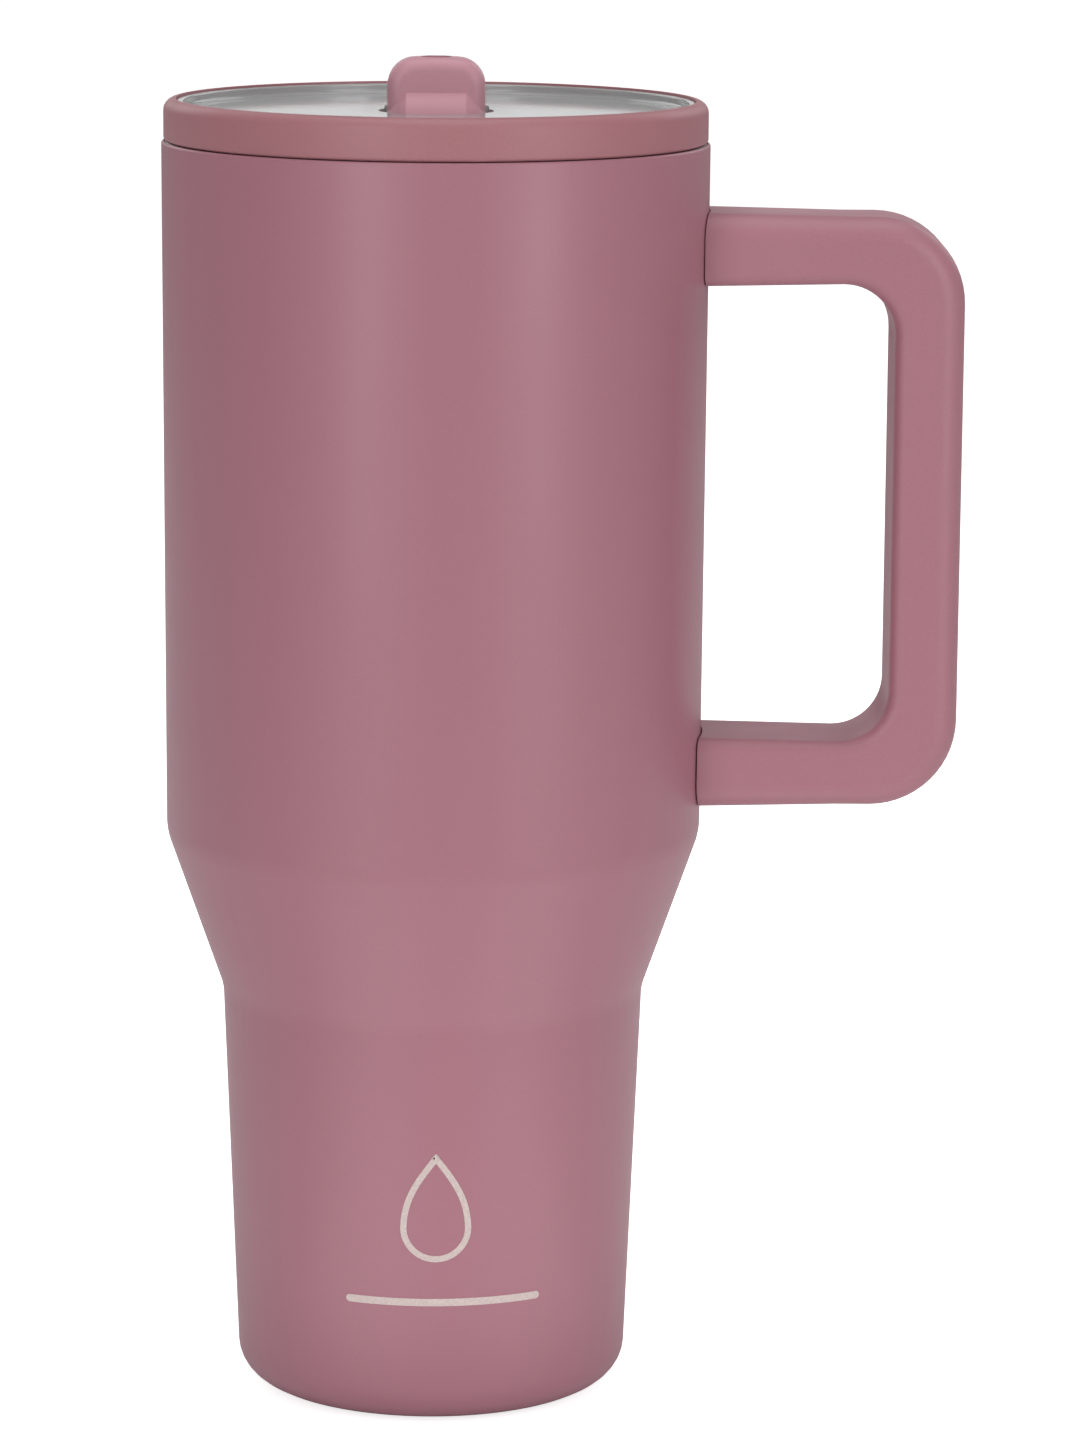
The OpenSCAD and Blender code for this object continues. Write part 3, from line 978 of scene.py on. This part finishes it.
@dataclass
class Vessel:
    """The double-walled vessel: a coated shell, a steel cup inside it and the print."""

    foot_z: float
    rim_r: float
    rim_z: float
    cup_z: float
    foot_inner_r: float
    base_r: float = 36.1
    base_round: float = 6.8
    cone_bottom: Pair = (39.1, 75.6)
    cone_top: Pair = (49.5, 105.2)
    cone_round: float = 10.0
    coat_wall: float = 0.6
    cup_gap: float = 3.1
    cup_wall: float = 0.5
    floor_round: float = 5.0
    rim_round: Pair = (0.5, 0.1)
    lip_r: float = 49.3
    lip_gap: float = 0.05
    lip_round: float = 0.2
    mouth_round: float = 0.4
    drop_centre: Pair = (1.1, 42.0)
    drop_size: Pair = (13.0, 20.6)
    drop_line: float = 1.15
    drop_taper: float = 0.45
    drop_belly: float = 0.12
    bar_x: Pair = (-15.7, 21.1)
    bar_z: Pair = (23.3, 24.7)
    ink_t: float = 0.04
    ink_gap: float = 0.005
    ink_step: float = 1.5

    def wall(self) -> list[Corner]:
        """Gives the vessel's outside from the foot's outer corner up to the rim.

        Returns:
            The outline's corners.
        """
        return [
            Corner(self.base_r, self.foot_z, self.base_round),
            Corner(*self.cone_bottom, self.cone_round),
            Corner(*self.cone_top, self.cone_round),
            Corner(self.rim_r, self.rim_z),
        ]

    def shell(self) -> Piece:
        """Makes the coated outer shell, open at the foot, with a rolled top edge.

        Returns:
            The piece.
        """
        line = [Corner(self.foot_inner_r, self.foot_z), *self.wall()]
        inner = inset(line, self.coat_wall)
        outside, inside = self.rim_round
        outline = [*line[:-1], replace(line[-1], rounding=outside)]
        outline += [replace(inner[-1], z=self.rim_z, rounding=inside), *inner[-2::-1]]
        bm = turned(outline, segments=8)
        return piece(
            bm, "vessel_shell", Body.TUMBLER, Slot.POWDER_COAT, POWDER_COAT, "outer_shell"
        )

    def cup(self) -> Piece:
        """Makes the steel cup with its rounded floor and the lip welded to the shell.

        Returns:
            The piece.
        """
        outside = inset(self.wall(), self.cup_gap)[1:]
        inside = inset(self.wall(), self.cup_gap + self.cup_wall)[1:]
        under, floor = self.cup_z, self.cup_z + self.cup_wall
        taper = (outside[0].r - self.base_r + self.cup_gap) / self.cone_bottom[1]
        floor_out = self.base_r - self.cup_gap + taper * under
        lip_z = self.rim_z - self.cup_wall - self.lip_gap
        outline = [
            Corner(0, under),
            Corner(floor_out, under, self.floor_round + self.cup_wall),
            *outside[:-1],
            Corner(outside[-1].r, lip_z, self.lip_round),
            Corner(self.lip_r, lip_z),
            Corner(self.lip_r, self.rim_z, self.lip_round),
            Corner(inside[-1].r, self.rim_z, self.mouth_round),
            *inside[-2::-1],
            Corner(floor_out - self.cup_wall, floor, self.floor_round),
            Corner(0, floor),
        ]
        bm = turned(outline, closed=False, segments=8)
        return piece(bm, "liner_cup", Body.TUMBLER, Slot.LINER_STEEL, LINER_STEEL, "inner_liner")

    def wrapped(self, bm: Solid, name: str) -> Piece:
        """Lays a flat print on the narrow part's wall.

        Args:
            bm: The print, drawn flat in the XZ plane.
            name: The piece's name.

        Returns:
            The piece, a thin film on the wall.
        """
        for axis in (0, 2):
            reach = [v.co[axis] for v in bm.verts]
            place = min(reach) + self.ink_step
            normal = Vector((axis == 0, 0, axis == 2))
            while place < max(reach):
                geom = list(bm.verts) + list(bm.edges) + list(bm.faces)
                bmesh.ops.bisect_plane(bm, geom=geom, plane_co=normal * place, plane_no=normal)
                place += self.ink_step
        bmesh.ops.recalc_face_normals(bm, faces=bm.faces)
        thickened(bm, -self.ink_t)
        slope = (self.cone_bottom[0] - self.base_r) / (self.cone_bottom[1] - self.foot_z)
        for vert in bm.verts:
            wall = self.base_r + slope * (vert.co.z - self.foot_z)
            radius = wall + self.ink_gap - vert.co.y
            angle = vert.co.x / wall
            vert.co.x, vert.co.y = radius * math.sin(angle), -radius * math.cos(angle)
        return piece(cleaned(bm), name, Body.TUMBLER, Slot.POWDER_COAT, PRINT_INK)

    def drop(self) -> Piece:
        """Makes the printed outline of a plain drop.

        Returns:
            The piece.
        """
        bm = bmesh.new()
        radius = self.drop_size[0] / 2
        upright = Matrix.Rotation(math.pi / 2, 4, "X")
        bmesh.ops.create_circle(bm, cap_ends=True, segments=72, radius=radius, matrix=upright)
        rise = self.drop_size[1] - radius
        for vert in bm.verts:
            if vert.co.z > 0:
                share = vert.co.z / radius
                belly = self.drop_belly * math.sin(math.pi * share)
                vert.co.z = share * rise
                vert.co.x *= (1 - share) ** self.drop_taper + belly
        face = list(bm.faces)
        bmesh.ops.inset_region(
            bm, faces=face, thickness=self.drop_line, use_even_offset=True, use_boundary=True
        )
        bmesh.ops.delete(bm, geom=face, context="FACES")
        middle = self.drop_centre[1] - (rise - radius) / 2
        return self.wrapped(shifted(bm, x=self.drop_centre[0], z=middle), "print_drop")

    def bar(self) -> Piece:
        """Makes the slim printed bar under the drop.

        Returns:
            The piece.
        """
        (x0, x1), (z0, z1) = self.bar_x, self.bar_z
        end = 0.499 * (z1 - z0)  # just under half, so that no two corners meet
        bm = drawn([Corner(x, z, end) for x, z in ((x0, z0), (x1, z0), (x1, z1), (x0, z1))], True)
        bmesh.ops.contextual_create(bm, geom=list(bm.edges))
        return self.wrapped(bm, "print_bar")

    def build(self, nodes: Nodes) -> None:
        """Makes the vessel's pieces and dresses the foil in its vacuum space.

        Args:
            nodes: The CAD nodes by name.
        """
        self.shell()
        self.cup()
        self.drop()
        self.bar()
        dress(nodes, COPPER_FOIL, "foil_wrap")


@dataclass
class Base:
    """The underside: the rubber pad and the parts that close the vacuum space."""

    pad_r: float
    pad_top: float
    groove_rs: tuple[float, ...] = (7.0, 11.0, 15.0, 19.0, 23.0)
    groove_w: float = 1.1
    groove_depth: float = 0.35
    groove_slope: float = 0.15
    groove_round: Pair = (0.12, 0.08)
    pad_round: float = 0.35

    def pad(self) -> Piece:
        """Makes the pad that the tumbler stands on, with ring grooves in its face.

        Returns:
            The piece.
        """
        brim, foot = self.groove_round
        half, depth = self.groove_w / 2, self.groove_depth
        inner = half - self.groove_slope
        outline = [Corner(0, 0)]
        for r in self.groove_rs:
            outline += [
                Corner(r - half, 0, brim),
                Corner(r - inner, depth, foot),
                Corner(r + inner, depth, foot),
                Corner(r + half, 0, brim),
            ]
        outline += [Corner(self.pad_r, 0, self.pad_round), Corner(self.pad_r, self.pad_top)]
        bm = turned([*outline, Corner(0, self.pad_top)], closed=False, segments=3)
        return piece(bm, "base_pad", Body.TUMBLER, Slot.FOOT_RUBBER, FOOT_RUBBER, "foot_pad")

    def build(self, nodes: Nodes) -> None:
        """Makes the pad and dresses the pieces above it.

        Args:
            nodes: The CAD nodes by name.
        """
        self.pad()
        dress(nodes, LINER_STEEL, "outer_bottom", "base_cap")
        dress(nodes, RIM_STEEL, "getter_clip")
        dress(nodes, GETTER_ALLOY, "getter")
        dress(nodes, GLASS_SOLDER, "vacuum_seal")


@dataclass
class Handle:
    """The side handle, its two brackets and its screws."""

    vessel: Vessel
    grip_x: float
    grip_t: float = 12.8
    width: float = 22.5
    arm_zs: Pair = (117.3, 213.8)
    arm_t: float = 12.2
    flare: float = 0.5
    flare_x: float = 74.2
    root_x: float = 41.5
    outer_round: float = 16.0
    inner_round: float = 9.4
    outer_edge: float = 4.6
    inner_edge: float = 2.4
    joint_gap: float = 0.15
    pad_depth: float = 1.8
    pad_size: Pair = (16.6, 9.0)
    tongue_reach: float = 64.3
    tongue_size: Pair = (12.6, 2.6)
    screw_x: float = 58.5
    screw_well: Pair = (3.25, 2.95)
    screw_hole: Pair = (2.15, 9.7)
    tool_past: Pair = (20.0, 5.0)
    broken: float = 0.25

    def side_view(self) -> list[Corner]:
        """Gives the handle's outline from the lower arm's root round the outside.

        Returns:
            The outline's corners.
        """
        half = self.arm_t / 2
        spread = self.flare_x - self.vessel.rim_r
        root = half + self.flare * (self.flare_x - self.root_x) / spread
        lower, upper = self.arm_zs
        inner_x = self.grip_x - self.grip_t
        return [
            Corner(self.root_x, lower - root),
            Corner(self.flare_x, lower - half),
            Corner(self.grip_x, lower - half, self.outer_round),
            Corner(self.grip_x, upper + half, self.outer_round),
            Corner(self.flare_x, upper + half),
            Corner(self.root_x, upper + root),
            Corner(self.root_x, upper - root),
            Corner(self.flare_x, upper - half),
            Corner(inner_x, upper - half, self.inner_round),
            Corner(inner_x, lower + half, self.inner_round),
            Corner(self.flare_x, lower + half),
            Corner(self.root_x, lower + root),
        ]

    def is_inner(self, edge: bmesh.types.BMEdge) -> bool:
        """Says whether an edge is on the finger side of the handle.

        Args:
            edge: The edge.

        Returns:
            True on the finger side.
        """
        middle = (edge.verts[0].co + edge.verts[1].co) / 2
        lower, upper = self.arm_zs
        return lower < middle.z < upper and middle.x < self.grip_x - self.grip_t / 2

    def blank(self) -> Solid:
        """Makes the moulded bar before it is fitted to the vessel.

        Returns:
            The bar.
        """
        half = self.width / 2
        bm = slab(self.side_view(), -half, half, segments=14)
        for inner, radius in ((False, self.outer_edge), (True, self.inner_edge)):
            long_edges = [
                e
                for e in bm.edges
                if all(abs(abs(v.co.y) - half) < TOUCH for v in e.verts)
                and e.verts[0].co.y * e.verts[1].co.y > 0
                and max(v.co.x for v in e.verts) > self.root_x + LIFT
                and e.calc_face_angle() > BREAK_ANGLE
                and self.is_inner(e) == inner
            ]
            bevelled(bm, long_edges, radius)
        return cleaned(bm)

    def envelope(self, grow: float) -> Solid:
        """Gives the vessel's wide part as a tool that reaches past the handle.

        Args:
            grow: How much larger than the vessel it is.

        Returns:
            The tool.
        """
        bottom, top = inset(self.vessel.wall(), -grow)[2:]
        under, over = bottom.z - self.tool_past[0], top.z + self.tool_past[1]
        corners = [
            Corner(0, under),
            replace(bottom, z=under, rounding=0),
            replace(top, z=over),
            Corner(0, over),
        ]
        return turned(corners, closed=False)

    def pocket(self, z: float, size: Pair) -> Solid:
        """Gives a block in an arm, from its root to the tongue's tip.

        Args:
            z: Height of the arm's middle.
            size: The block's width and height.

        Returns:
            The block.
        """
        half_w, half_h = size[0] / 2, size[1] / 2
        return box((self.root_x, -half_w, z - half_h), (self.tongue_reach, half_w, z + half_h))

    def fit(self, bm: Solid) -> Solid:
        """Cuts the saddle against the vessel, and the room for brackets and screws.

        Args:
            bm: The handle's blank.

        Returns:
            The fitted handle.
        """
        bm = cut(bm, self.envelope(self.joint_gap))
        for z in self.arm_zs:
            pad = self.pocket(z, self.pad_size)
            pad = combined(pad, self.envelope(self.pad_depth), Join.OVERLAP)
            bm = cut(bm, pad, self.pocket(z, self.tongue_size))
            under = z - self.arm_t / 2
            start = (self.screw_x, 0, under - PAST)
            for radius, rise in (self.screw_well, self.screw_hole):
                bm = cut(bm, rod(radius, start, (self.screw_x, 0, under + rise), 48))
        return bm

    def build(self, nodes: Nodes) -> None:
        """Makes the handle and dresses its fixings.

        Args:
            nodes: The CAD nodes by name.
        """
        bm = self.fit(self.blank())
        made = piece(
            bm, "grip_handle", Body.TUMBLER, Slot.HANDLE_PLASTIC, HANDLE_PLASTIC, "handle"
        )
        softened(made, self.broken)
        dress(nodes, HANDLE_PLASTIC, "handle_screw_plugs")
        dress(nodes, RIM_STEEL, "upper_handle_bracket", "lower_handle_bracket", "handle_screws")


@dataclass
class Lid:
    """The lid: a coloured ring, a clear dish in it, and its seals and vent."""

    ring_r: float
    ring_z: float
    ring_top: float
    skirt_z: float
    dish_r: float
    dish_top: float
    plate_under: float
    ring_in: float = 47.3
    skirt_r: float = 45.75
    skirt_t: float = 2.0
    skirt_round: Pair = (0.4, 0.5)
    groove: Triple = (224.0, 229.0, 1.0)
    groove_round: float = 0.2
    ring_round: Triple = (0.7, 2.2, 0.35)
    plate_top: float = 238.0
    dish_wall: float = 1.3
    dish_round: Triple = (0.3, 0.4, 0.8)
    opening_r: float = 10.52
    bay: Triple = (9.6, 14.72, 3.0)
    notch: Triple = (2.75, 11.32, 234.5)
    vent_y: float = 30.0
    vent_r: float = 1.6
    vent_gap: float = 0.05
    vent_cap: Pair = (4.0, 1.3)
    vent_bulb: Pair = (2.6, 2.2)
    vent_dimple: Triple = (1.5, 1.2, 0.4)
    vent_rounds: tuple[float, ...] = (0.5, 0.3, 0.15, 0.6, 0.2)
    broken: float = 0.2

    def ring(self) -> Piece:
        """Makes the coloured ring with the skirt that goes into the mouth.

        Returns:
            The piece.
        """
        groove_low, groove_high, depth = self.groove
        skirt_in = self.skirt_r - self.skirt_t
        shoulder, foot = self.skirt_round
        under, over, inner = self.ring_round
        outline = [
            Corner(self.ring_in, self.plate_under),
            Corner(skirt_in, self.plate_under, shoulder),
            Corner(skirt_in, self.skirt_z, foot),
            Corner(self.skirt_r, self.skirt_z, foot),
            Corner(self.skirt_r, groove_low, self.groove_round),
            Corner(self.skirt_r - depth, groove_low),
            Corner(self.skirt_r - depth, groove_high),
            Corner(self.skirt_r, groove_high, self.groove_round),
            Corner(self.skirt_r, self.ring_z),
            Corner(self.ring_r, self.ring_z, under),
            Corner(self.ring_r, self.ring_top, over),
            Corner(self.ring_in, self.ring_top, inner),
        ]
        bm = turned(outline, segments=8)
        return piece(bm, "lid_rim", Body.LID, Slot.LID_PLASTIC, LID_PLASTIC, "lid_ring")

    def window(self) -> Piece:
        """Makes the clear dish, cut out for the spout, its hinge and the vent.

        Returns:
            The piece.
        """
        inner = self.dish_r - self.dish_wall
        under, top = self.plate_under, self.plate_top
        foot, brim, hollow = self.dish_round
        outline = [
            Corner(0, under),
            Corner(self.dish_r, under, foot),
            Corner(self.dish_r, self.dish_top, brim),
            Corner(inner, self.dish_top, brim),
            Corner(inner, top, hollow),
            Corner(0, top),
        ]
        lower, upper = under - PAST, top + PAST
        half, back, round_r = self.bay
        floor_plan = [Corner(-half, 0), Corner(half, 0), Corner(half, back, round_r)]
        bay = slab([*floor_plan, Corner(-half, back, round_r)], -upper, -lower)
        bmesh.ops.rotate(bay, matrix=Matrix.Rotation(-math.pi / 2, 3, "X"), verts=bay.verts)
        radius, reach, height = self.notch
        bm = cut(
            turned(outline, closed=False),
            rod(self.opening_r, (0, 0, lower), (0, 0, upper), 128),
            cleaned(bay),
            rod(radius, (-reach, 0, height), (reach, 0, height), 64),
            rod(self.vent_r, (0, self.vent_y, lower), (0, self.vent_y, upper), 48),
        )
        made = piece(bm, "lid_window", Body.LID, Slot.CLEAR_PLASTIC, CLEAR_PLASTIC, "lid_plate")
        return softened(made, self.broken)

    def vent(self) -> Piece:
        """Makes the small silicone plug that lets air in.

        Returns:
            The piece.
        """
        cap_r, cap_h = self.vent_cap
        bulb_r, bulb_h = self.vent_bulb
        stem, seat = self.vent_r - self.vent_gap, self.plate_top + self.vent_gap
        neck = self.plate_under - self.vent_gap
        dimple_r, dimple_foot_r, dimple_depth = self.vent_dimple
        tip, barb, under, over, hollow = self.vent_rounds
        top = seat + cap_h
        outline = [
            Corner(0, neck - bulb_h),
            Corner(stem, neck - bulb_h, tip),
            Corner(bulb_r, neck, barb),
            Corner(stem, neck),
            Corner(stem, seat),
            Corner(cap_r, seat, under),
            Corner(cap_r, top, over),
            Corner(dimple_r, top, hollow),
            Corner(dimple_foot_r, top - dimple_depth, hollow),
            Corner(0, top - dimple_depth),
        ]
        bm = shifted(turned(outline, closed=False, steps=72, segments=4), y=self.vent_y)
        return piece(bm, "vent_plug", Body.LID, Slot.SILICONE, SILICONE, "vent_valve")

    def build(self, nodes: Nodes) -> None:
        """Makes the lid's pieces and dresses its gasket.

        Args:
            nodes: The CAD nodes by name.
        """
        self.ring()
        self.window()
        self.vent()
        dress(nodes, SILICONE, "lid_gasket")


@dataclass
class Spout:
    """The flip-up spout and the cradle that it turns in."""

    top: float
    half_w: float
    hinge_z: float = 234.5
    thickness: float = 9.6
    corner_r: float = 5.0
    crown: float = 0.5
    crown_bow: float = 4.0
    edge: float = 2.4
    hub_r: float = 8.5
    ball_r: float = 10.02
    channel_r: float = 2.8
    pin_hole: Pair = (1.05, 3.7)
    broken: float = 0.3

    def tab(self) -> Piece:
        """Makes the spout: a rounded mouthpiece on a hub, with the drinking channel.

        Returns:
            The piece.
        """
        rise = self.top - self.hinge_z
        shoulder = rise - self.crown
        front = [
            Corner(-self.half_w, 0),
            Corner(self.half_w, 0),
            Corner(self.half_w, shoulder, self.corner_r),
            Corner(0, rise, self.crown_bow * self.half_w),
            Corner(-self.half_w, shoulder, self.corner_r),
        ]
        bm = slab(front, -self.thickness / 2, self.thickness / 2, segments=10)
        long_edges = [
            e
            for e in bm.edges
            if e.verts[0].co.y * e.verts[1].co.y > 0
            and abs(e.verts[0].co.y - e.verts[1].co.y) < TOUCH
            and max(v.co.z for v in e.verts) > LIFT
        ]
        bm = cleaned(bevelled(bm, long_edges, self.edge))
        hub = rod(self.hub_r, (-self.half_w, 0, 0), (self.half_w, 0, 0), 128)
        ball = bmesh.new()
        across = Matrix.Rotation(math.pi / 2, 4, "Y")
        bmesh.ops.create_uvsphere(
            ball, u_segments=128, v_segments=64, radius=self.ball_r, matrix=across
        )
        bm = combined(bm, combined(hub, ball, Join.OVERLAP), Join.UNION)
        bm = cut(bm, rod(self.channel_r, (0, 0, -self.hub_r - PAST), (0, 0, rise + PAST), 72))
        hole_r, depth = self.pin_hole
        for side in (-1, 1):
            start, end = side * (self.half_w - depth), side * (self.half_w + PAST)
            bm = cut(bm, rod(hole_r, (start, 0, 0), (end, 0, 0), 40))
        bm = shifted(bm, z=self.hinge_z)
        made = piece(bm, "spout_tab", Body.SPOUT, Slot.LID_PLASTIC, LIT_SPOUT_PLASTIC, "flip_spout")
        return softened(made, self.broken)

    def build(self, nodes: Nodes) -> None:
        """Makes the spout and dresses its cradle, seal and pins.

        Args:
            nodes: The CAD nodes by name.
        """
        self.tab()
        dress(nodes, LID_PLASTIC, "spout_cradle")
        dress(nodes, SILICONE, "spout_seal")
        dress(nodes, RIM_STEEL, "spout_pins")


@dataclass
class Straw:
    """The drinking straw and the bush that grips it."""

    outer_r: float
    bottom: float
    top: float
    inner_r: float = 2.8
    bottom_round: Pair = (0.4, 0.5)
    top_round: float = 0.3

    def build(self, nodes: Nodes) -> None:
        """Makes the straw with rounded ends and dresses its bush.

        Args:
            nodes: The CAD nodes by name.
        """
        inside, outside = self.bottom_round
        outline = [
            Corner(self.inner_r, self.bottom, inside),
            Corner(self.outer_r, self.bottom, outside),
            Corner(self.outer_r, self.top, self.top_round),
            Corner(self.inner_r, self.top, self.top_round),
        ]
        bm = turned(outline, steps=64, segments=4)
        piece(bm, "straw_tube", Body.LID, Slot.CLEAR_PLASTIC, STRAW_PLASTIC, "straw")
        dress(nodes, SILICONE, "straw_holder")


@dataclass(frozen=True)
class Softbox:
    """A studio lamp: where it stands, how big and bright it is, and the height it points at."""

    name: str
    azimuth: float
    height: float
    distance: float
    width: float
    length: float
    power: float
    aim: float = 0.13


@dataclass
class Studio:
    """A pale floor, soft lamps, a plain surround and the camera."""

    floor_half: float = 9.0
    surround: float = 0.30
    floor_glow: float = 0.75
    floor_z: float = -0.0002
    floor_seen: str = "F6F6F6"
    floor_thrown: str = "F0F0F0"
    lamps: tuple[Softbox, ...] = (
        Softbox("left softbox", -27, 0.35, 1.3, 0.42, 1.5, 7.1),
        Softbox("right softbox", 43, 0.35, 1.3, 0.42, 1.5, 7.5),
        Softbox("overhead softbox", 0, 1.6, 0.1, 1.4, 1.4, 11.0),
        Softbox("lit backdrop", 180, 0.6, 2.0, 0.8, 0.8, 1.0),
        Softbox("left back fill", 215, 0.9, 1.5, 0.9, 0.9, 3.2),
        Softbox("right back fill", 140, 0.9, 1.5, 0.9, 0.9, 3.2),
        Softbox("left floor card", -27, 0.004, 0.13, 0.1, 0.14, 0.03, aim=3.0),
        Softbox("right floor card", 43, 0.004, 0.13, 0.1, 0.14, 0.03, aim=3.0),
    )
    camera_at: Triple = (0.00939, -1.0132, 0.3114)
    camera_down: float = 0.1816
    camera_yaw: float = 0.0102
    camera_roll: float = 0.0077
    lens: float = 138.7
    sensor: float = 36.0
    clip: Pair = (0.05, 50.0)

    def floor(self) -> None:
        """Lays a matt pale floor that the whole view falls on."""
        bm = bmesh.new()
        bmesh.ops.create_grid(bm, x_segments=1, y_segments=1, size=self.floor_half)
        made = placed("studio_floor", as_mesh(shifted(bm, z=self.floor_z), "studio_floor"))
        # Matt painted board, lifted to nearly white for the view. The object only gets what
        # the plain board throws back.
        paint = bpy.data.materials.new("studio_board")
        tree = emptied(paint)
        white = add(tree, "ShaderNodeBsdfDiffuse", {"Color": linear(self.floor_seen)})
        glow = add(tree, "ShaderNodeEmission", {"Color": WHITE, "Strength": self.floor_glow})
        lit = add(tree, "ShaderNodeAddShader", {0: white.outputs[0], 1: glow.outputs[0]})
        plain = add(tree, "ShaderNodeBsdfDiffuse", {"Color": linear(self.floor_thrown)})
        surface = staged(tree, lit.outputs[0], plain.outputs[0])
        add(tree, "ShaderNodeOutputMaterial", {"Surface": surface})
        made.data.materials.append(paint)

    def light(self) -> None:
        """Hangs the lamps and sets the plain surround."""
        for lamp in self.lamps:
            data = bpy.data.lights.new(lamp.name, "AREA")
            data.shape, data.size, data.size_y = "RECTANGLE", lamp.width, lamp.length
            data.energy = lamp.power
            made = placed(lamp.name, data)
            angle = math.radians(lamp.azimuth)
            across = Vector((math.sin(angle), -math.cos(angle), 0)) * lamp.distance
            made.location = across + Vector((0, 0, lamp.height))
            aim = Vector((0, 0, lamp.aim)) - made.location
            made.rotation_euler = aim.to_track_quat("-Z", "Y").to_euler()
            made.visible_camera = False
        world = bpy.data.worlds.new("surround")
        tree = emptied(world)
        seen, thrown = (
            add(tree, "ShaderNodeBackground", {"Color": WHITE, "Strength": strength}).outputs[0]
            for strength in (1.0, self.surround)
        )
        add(tree, "ShaderNodeOutputWorld", {"Surface": staged(tree, seen, thrown)})
        bpy.context.scene.world = world

    def camera(self) -> None:
        """Sets the camera at its fitted place."""
        data = bpy.data.cameras.new("camera")
        data.lens, data.sensor_width, data.sensor_fit = self.lens, self.sensor, "AUTO"
        data.clip_start, data.clip_end = self.clip
        made = placed("camera", data)
        turn = Matrix.Rotation(-self.camera_yaw, 4, "Z")
        tilt = Matrix.Rotation(math.pi / 2 - self.camera_down, 4, "X")
        roll = Matrix.Rotation(self.camera_roll, 4, "Z")
        made.matrix_world = Matrix.Translation(self.camera_at) @ turn @ tilt @ roll
        bpy.context.scene.camera = made

    def build(self) -> None:
        """Sets up the whole studio."""
        self.floor()
        self.light()
        self.camera()
        bpy.context.scene.view_settings.view_transform = "Standard"
        log.info("studio: %d lamps", len(self.lamps))


def main(nodes: Nodes) -> None:
    """Builds every sub-assembly in order.

    Args:
        nodes: The CAD nodes by name.
    """
    Studio().build()
    vessel = Vessel(
        foot_z=low("outer_shell").z,
        rim_r=high("outer_shell").x,
        rim_z=high("outer_shell").z,
        cup_z=low("inner_liner").z,
        foot_inner_r=high("outer_bottom").x,
    )
    vessel.build(nodes)
    Base(pad_r=high("foot_pad").x, pad_top=high("foot_pad").z).build(nodes)
    Handle(vessel, grip_x=high("handle").x).build(nodes)
    Lid(
        ring_r=high("lid_ring").x,
        ring_z=high("outer_shell").z + LIFT,
        ring_top=high("lid_ring").z,
        skirt_z=low("lid_ring").z,
        dish_r=high("lid_plate").x,
        dish_top=high("lid_plate").z,
        plate_under=low("lid_plate").z,
    ).build(nodes)
    Spout(top=high("flip_spout").z, half_w=high("flip_spout").x).build(nodes)
    Straw(outer_r=high("straw").x, bottom=low("straw").z, top=high("straw").z).build(nodes)


if __name__ == "__main__":
    logging.basicConfig(level=logging.INFO, format="%(message)s")
    main(frame["nodes"])
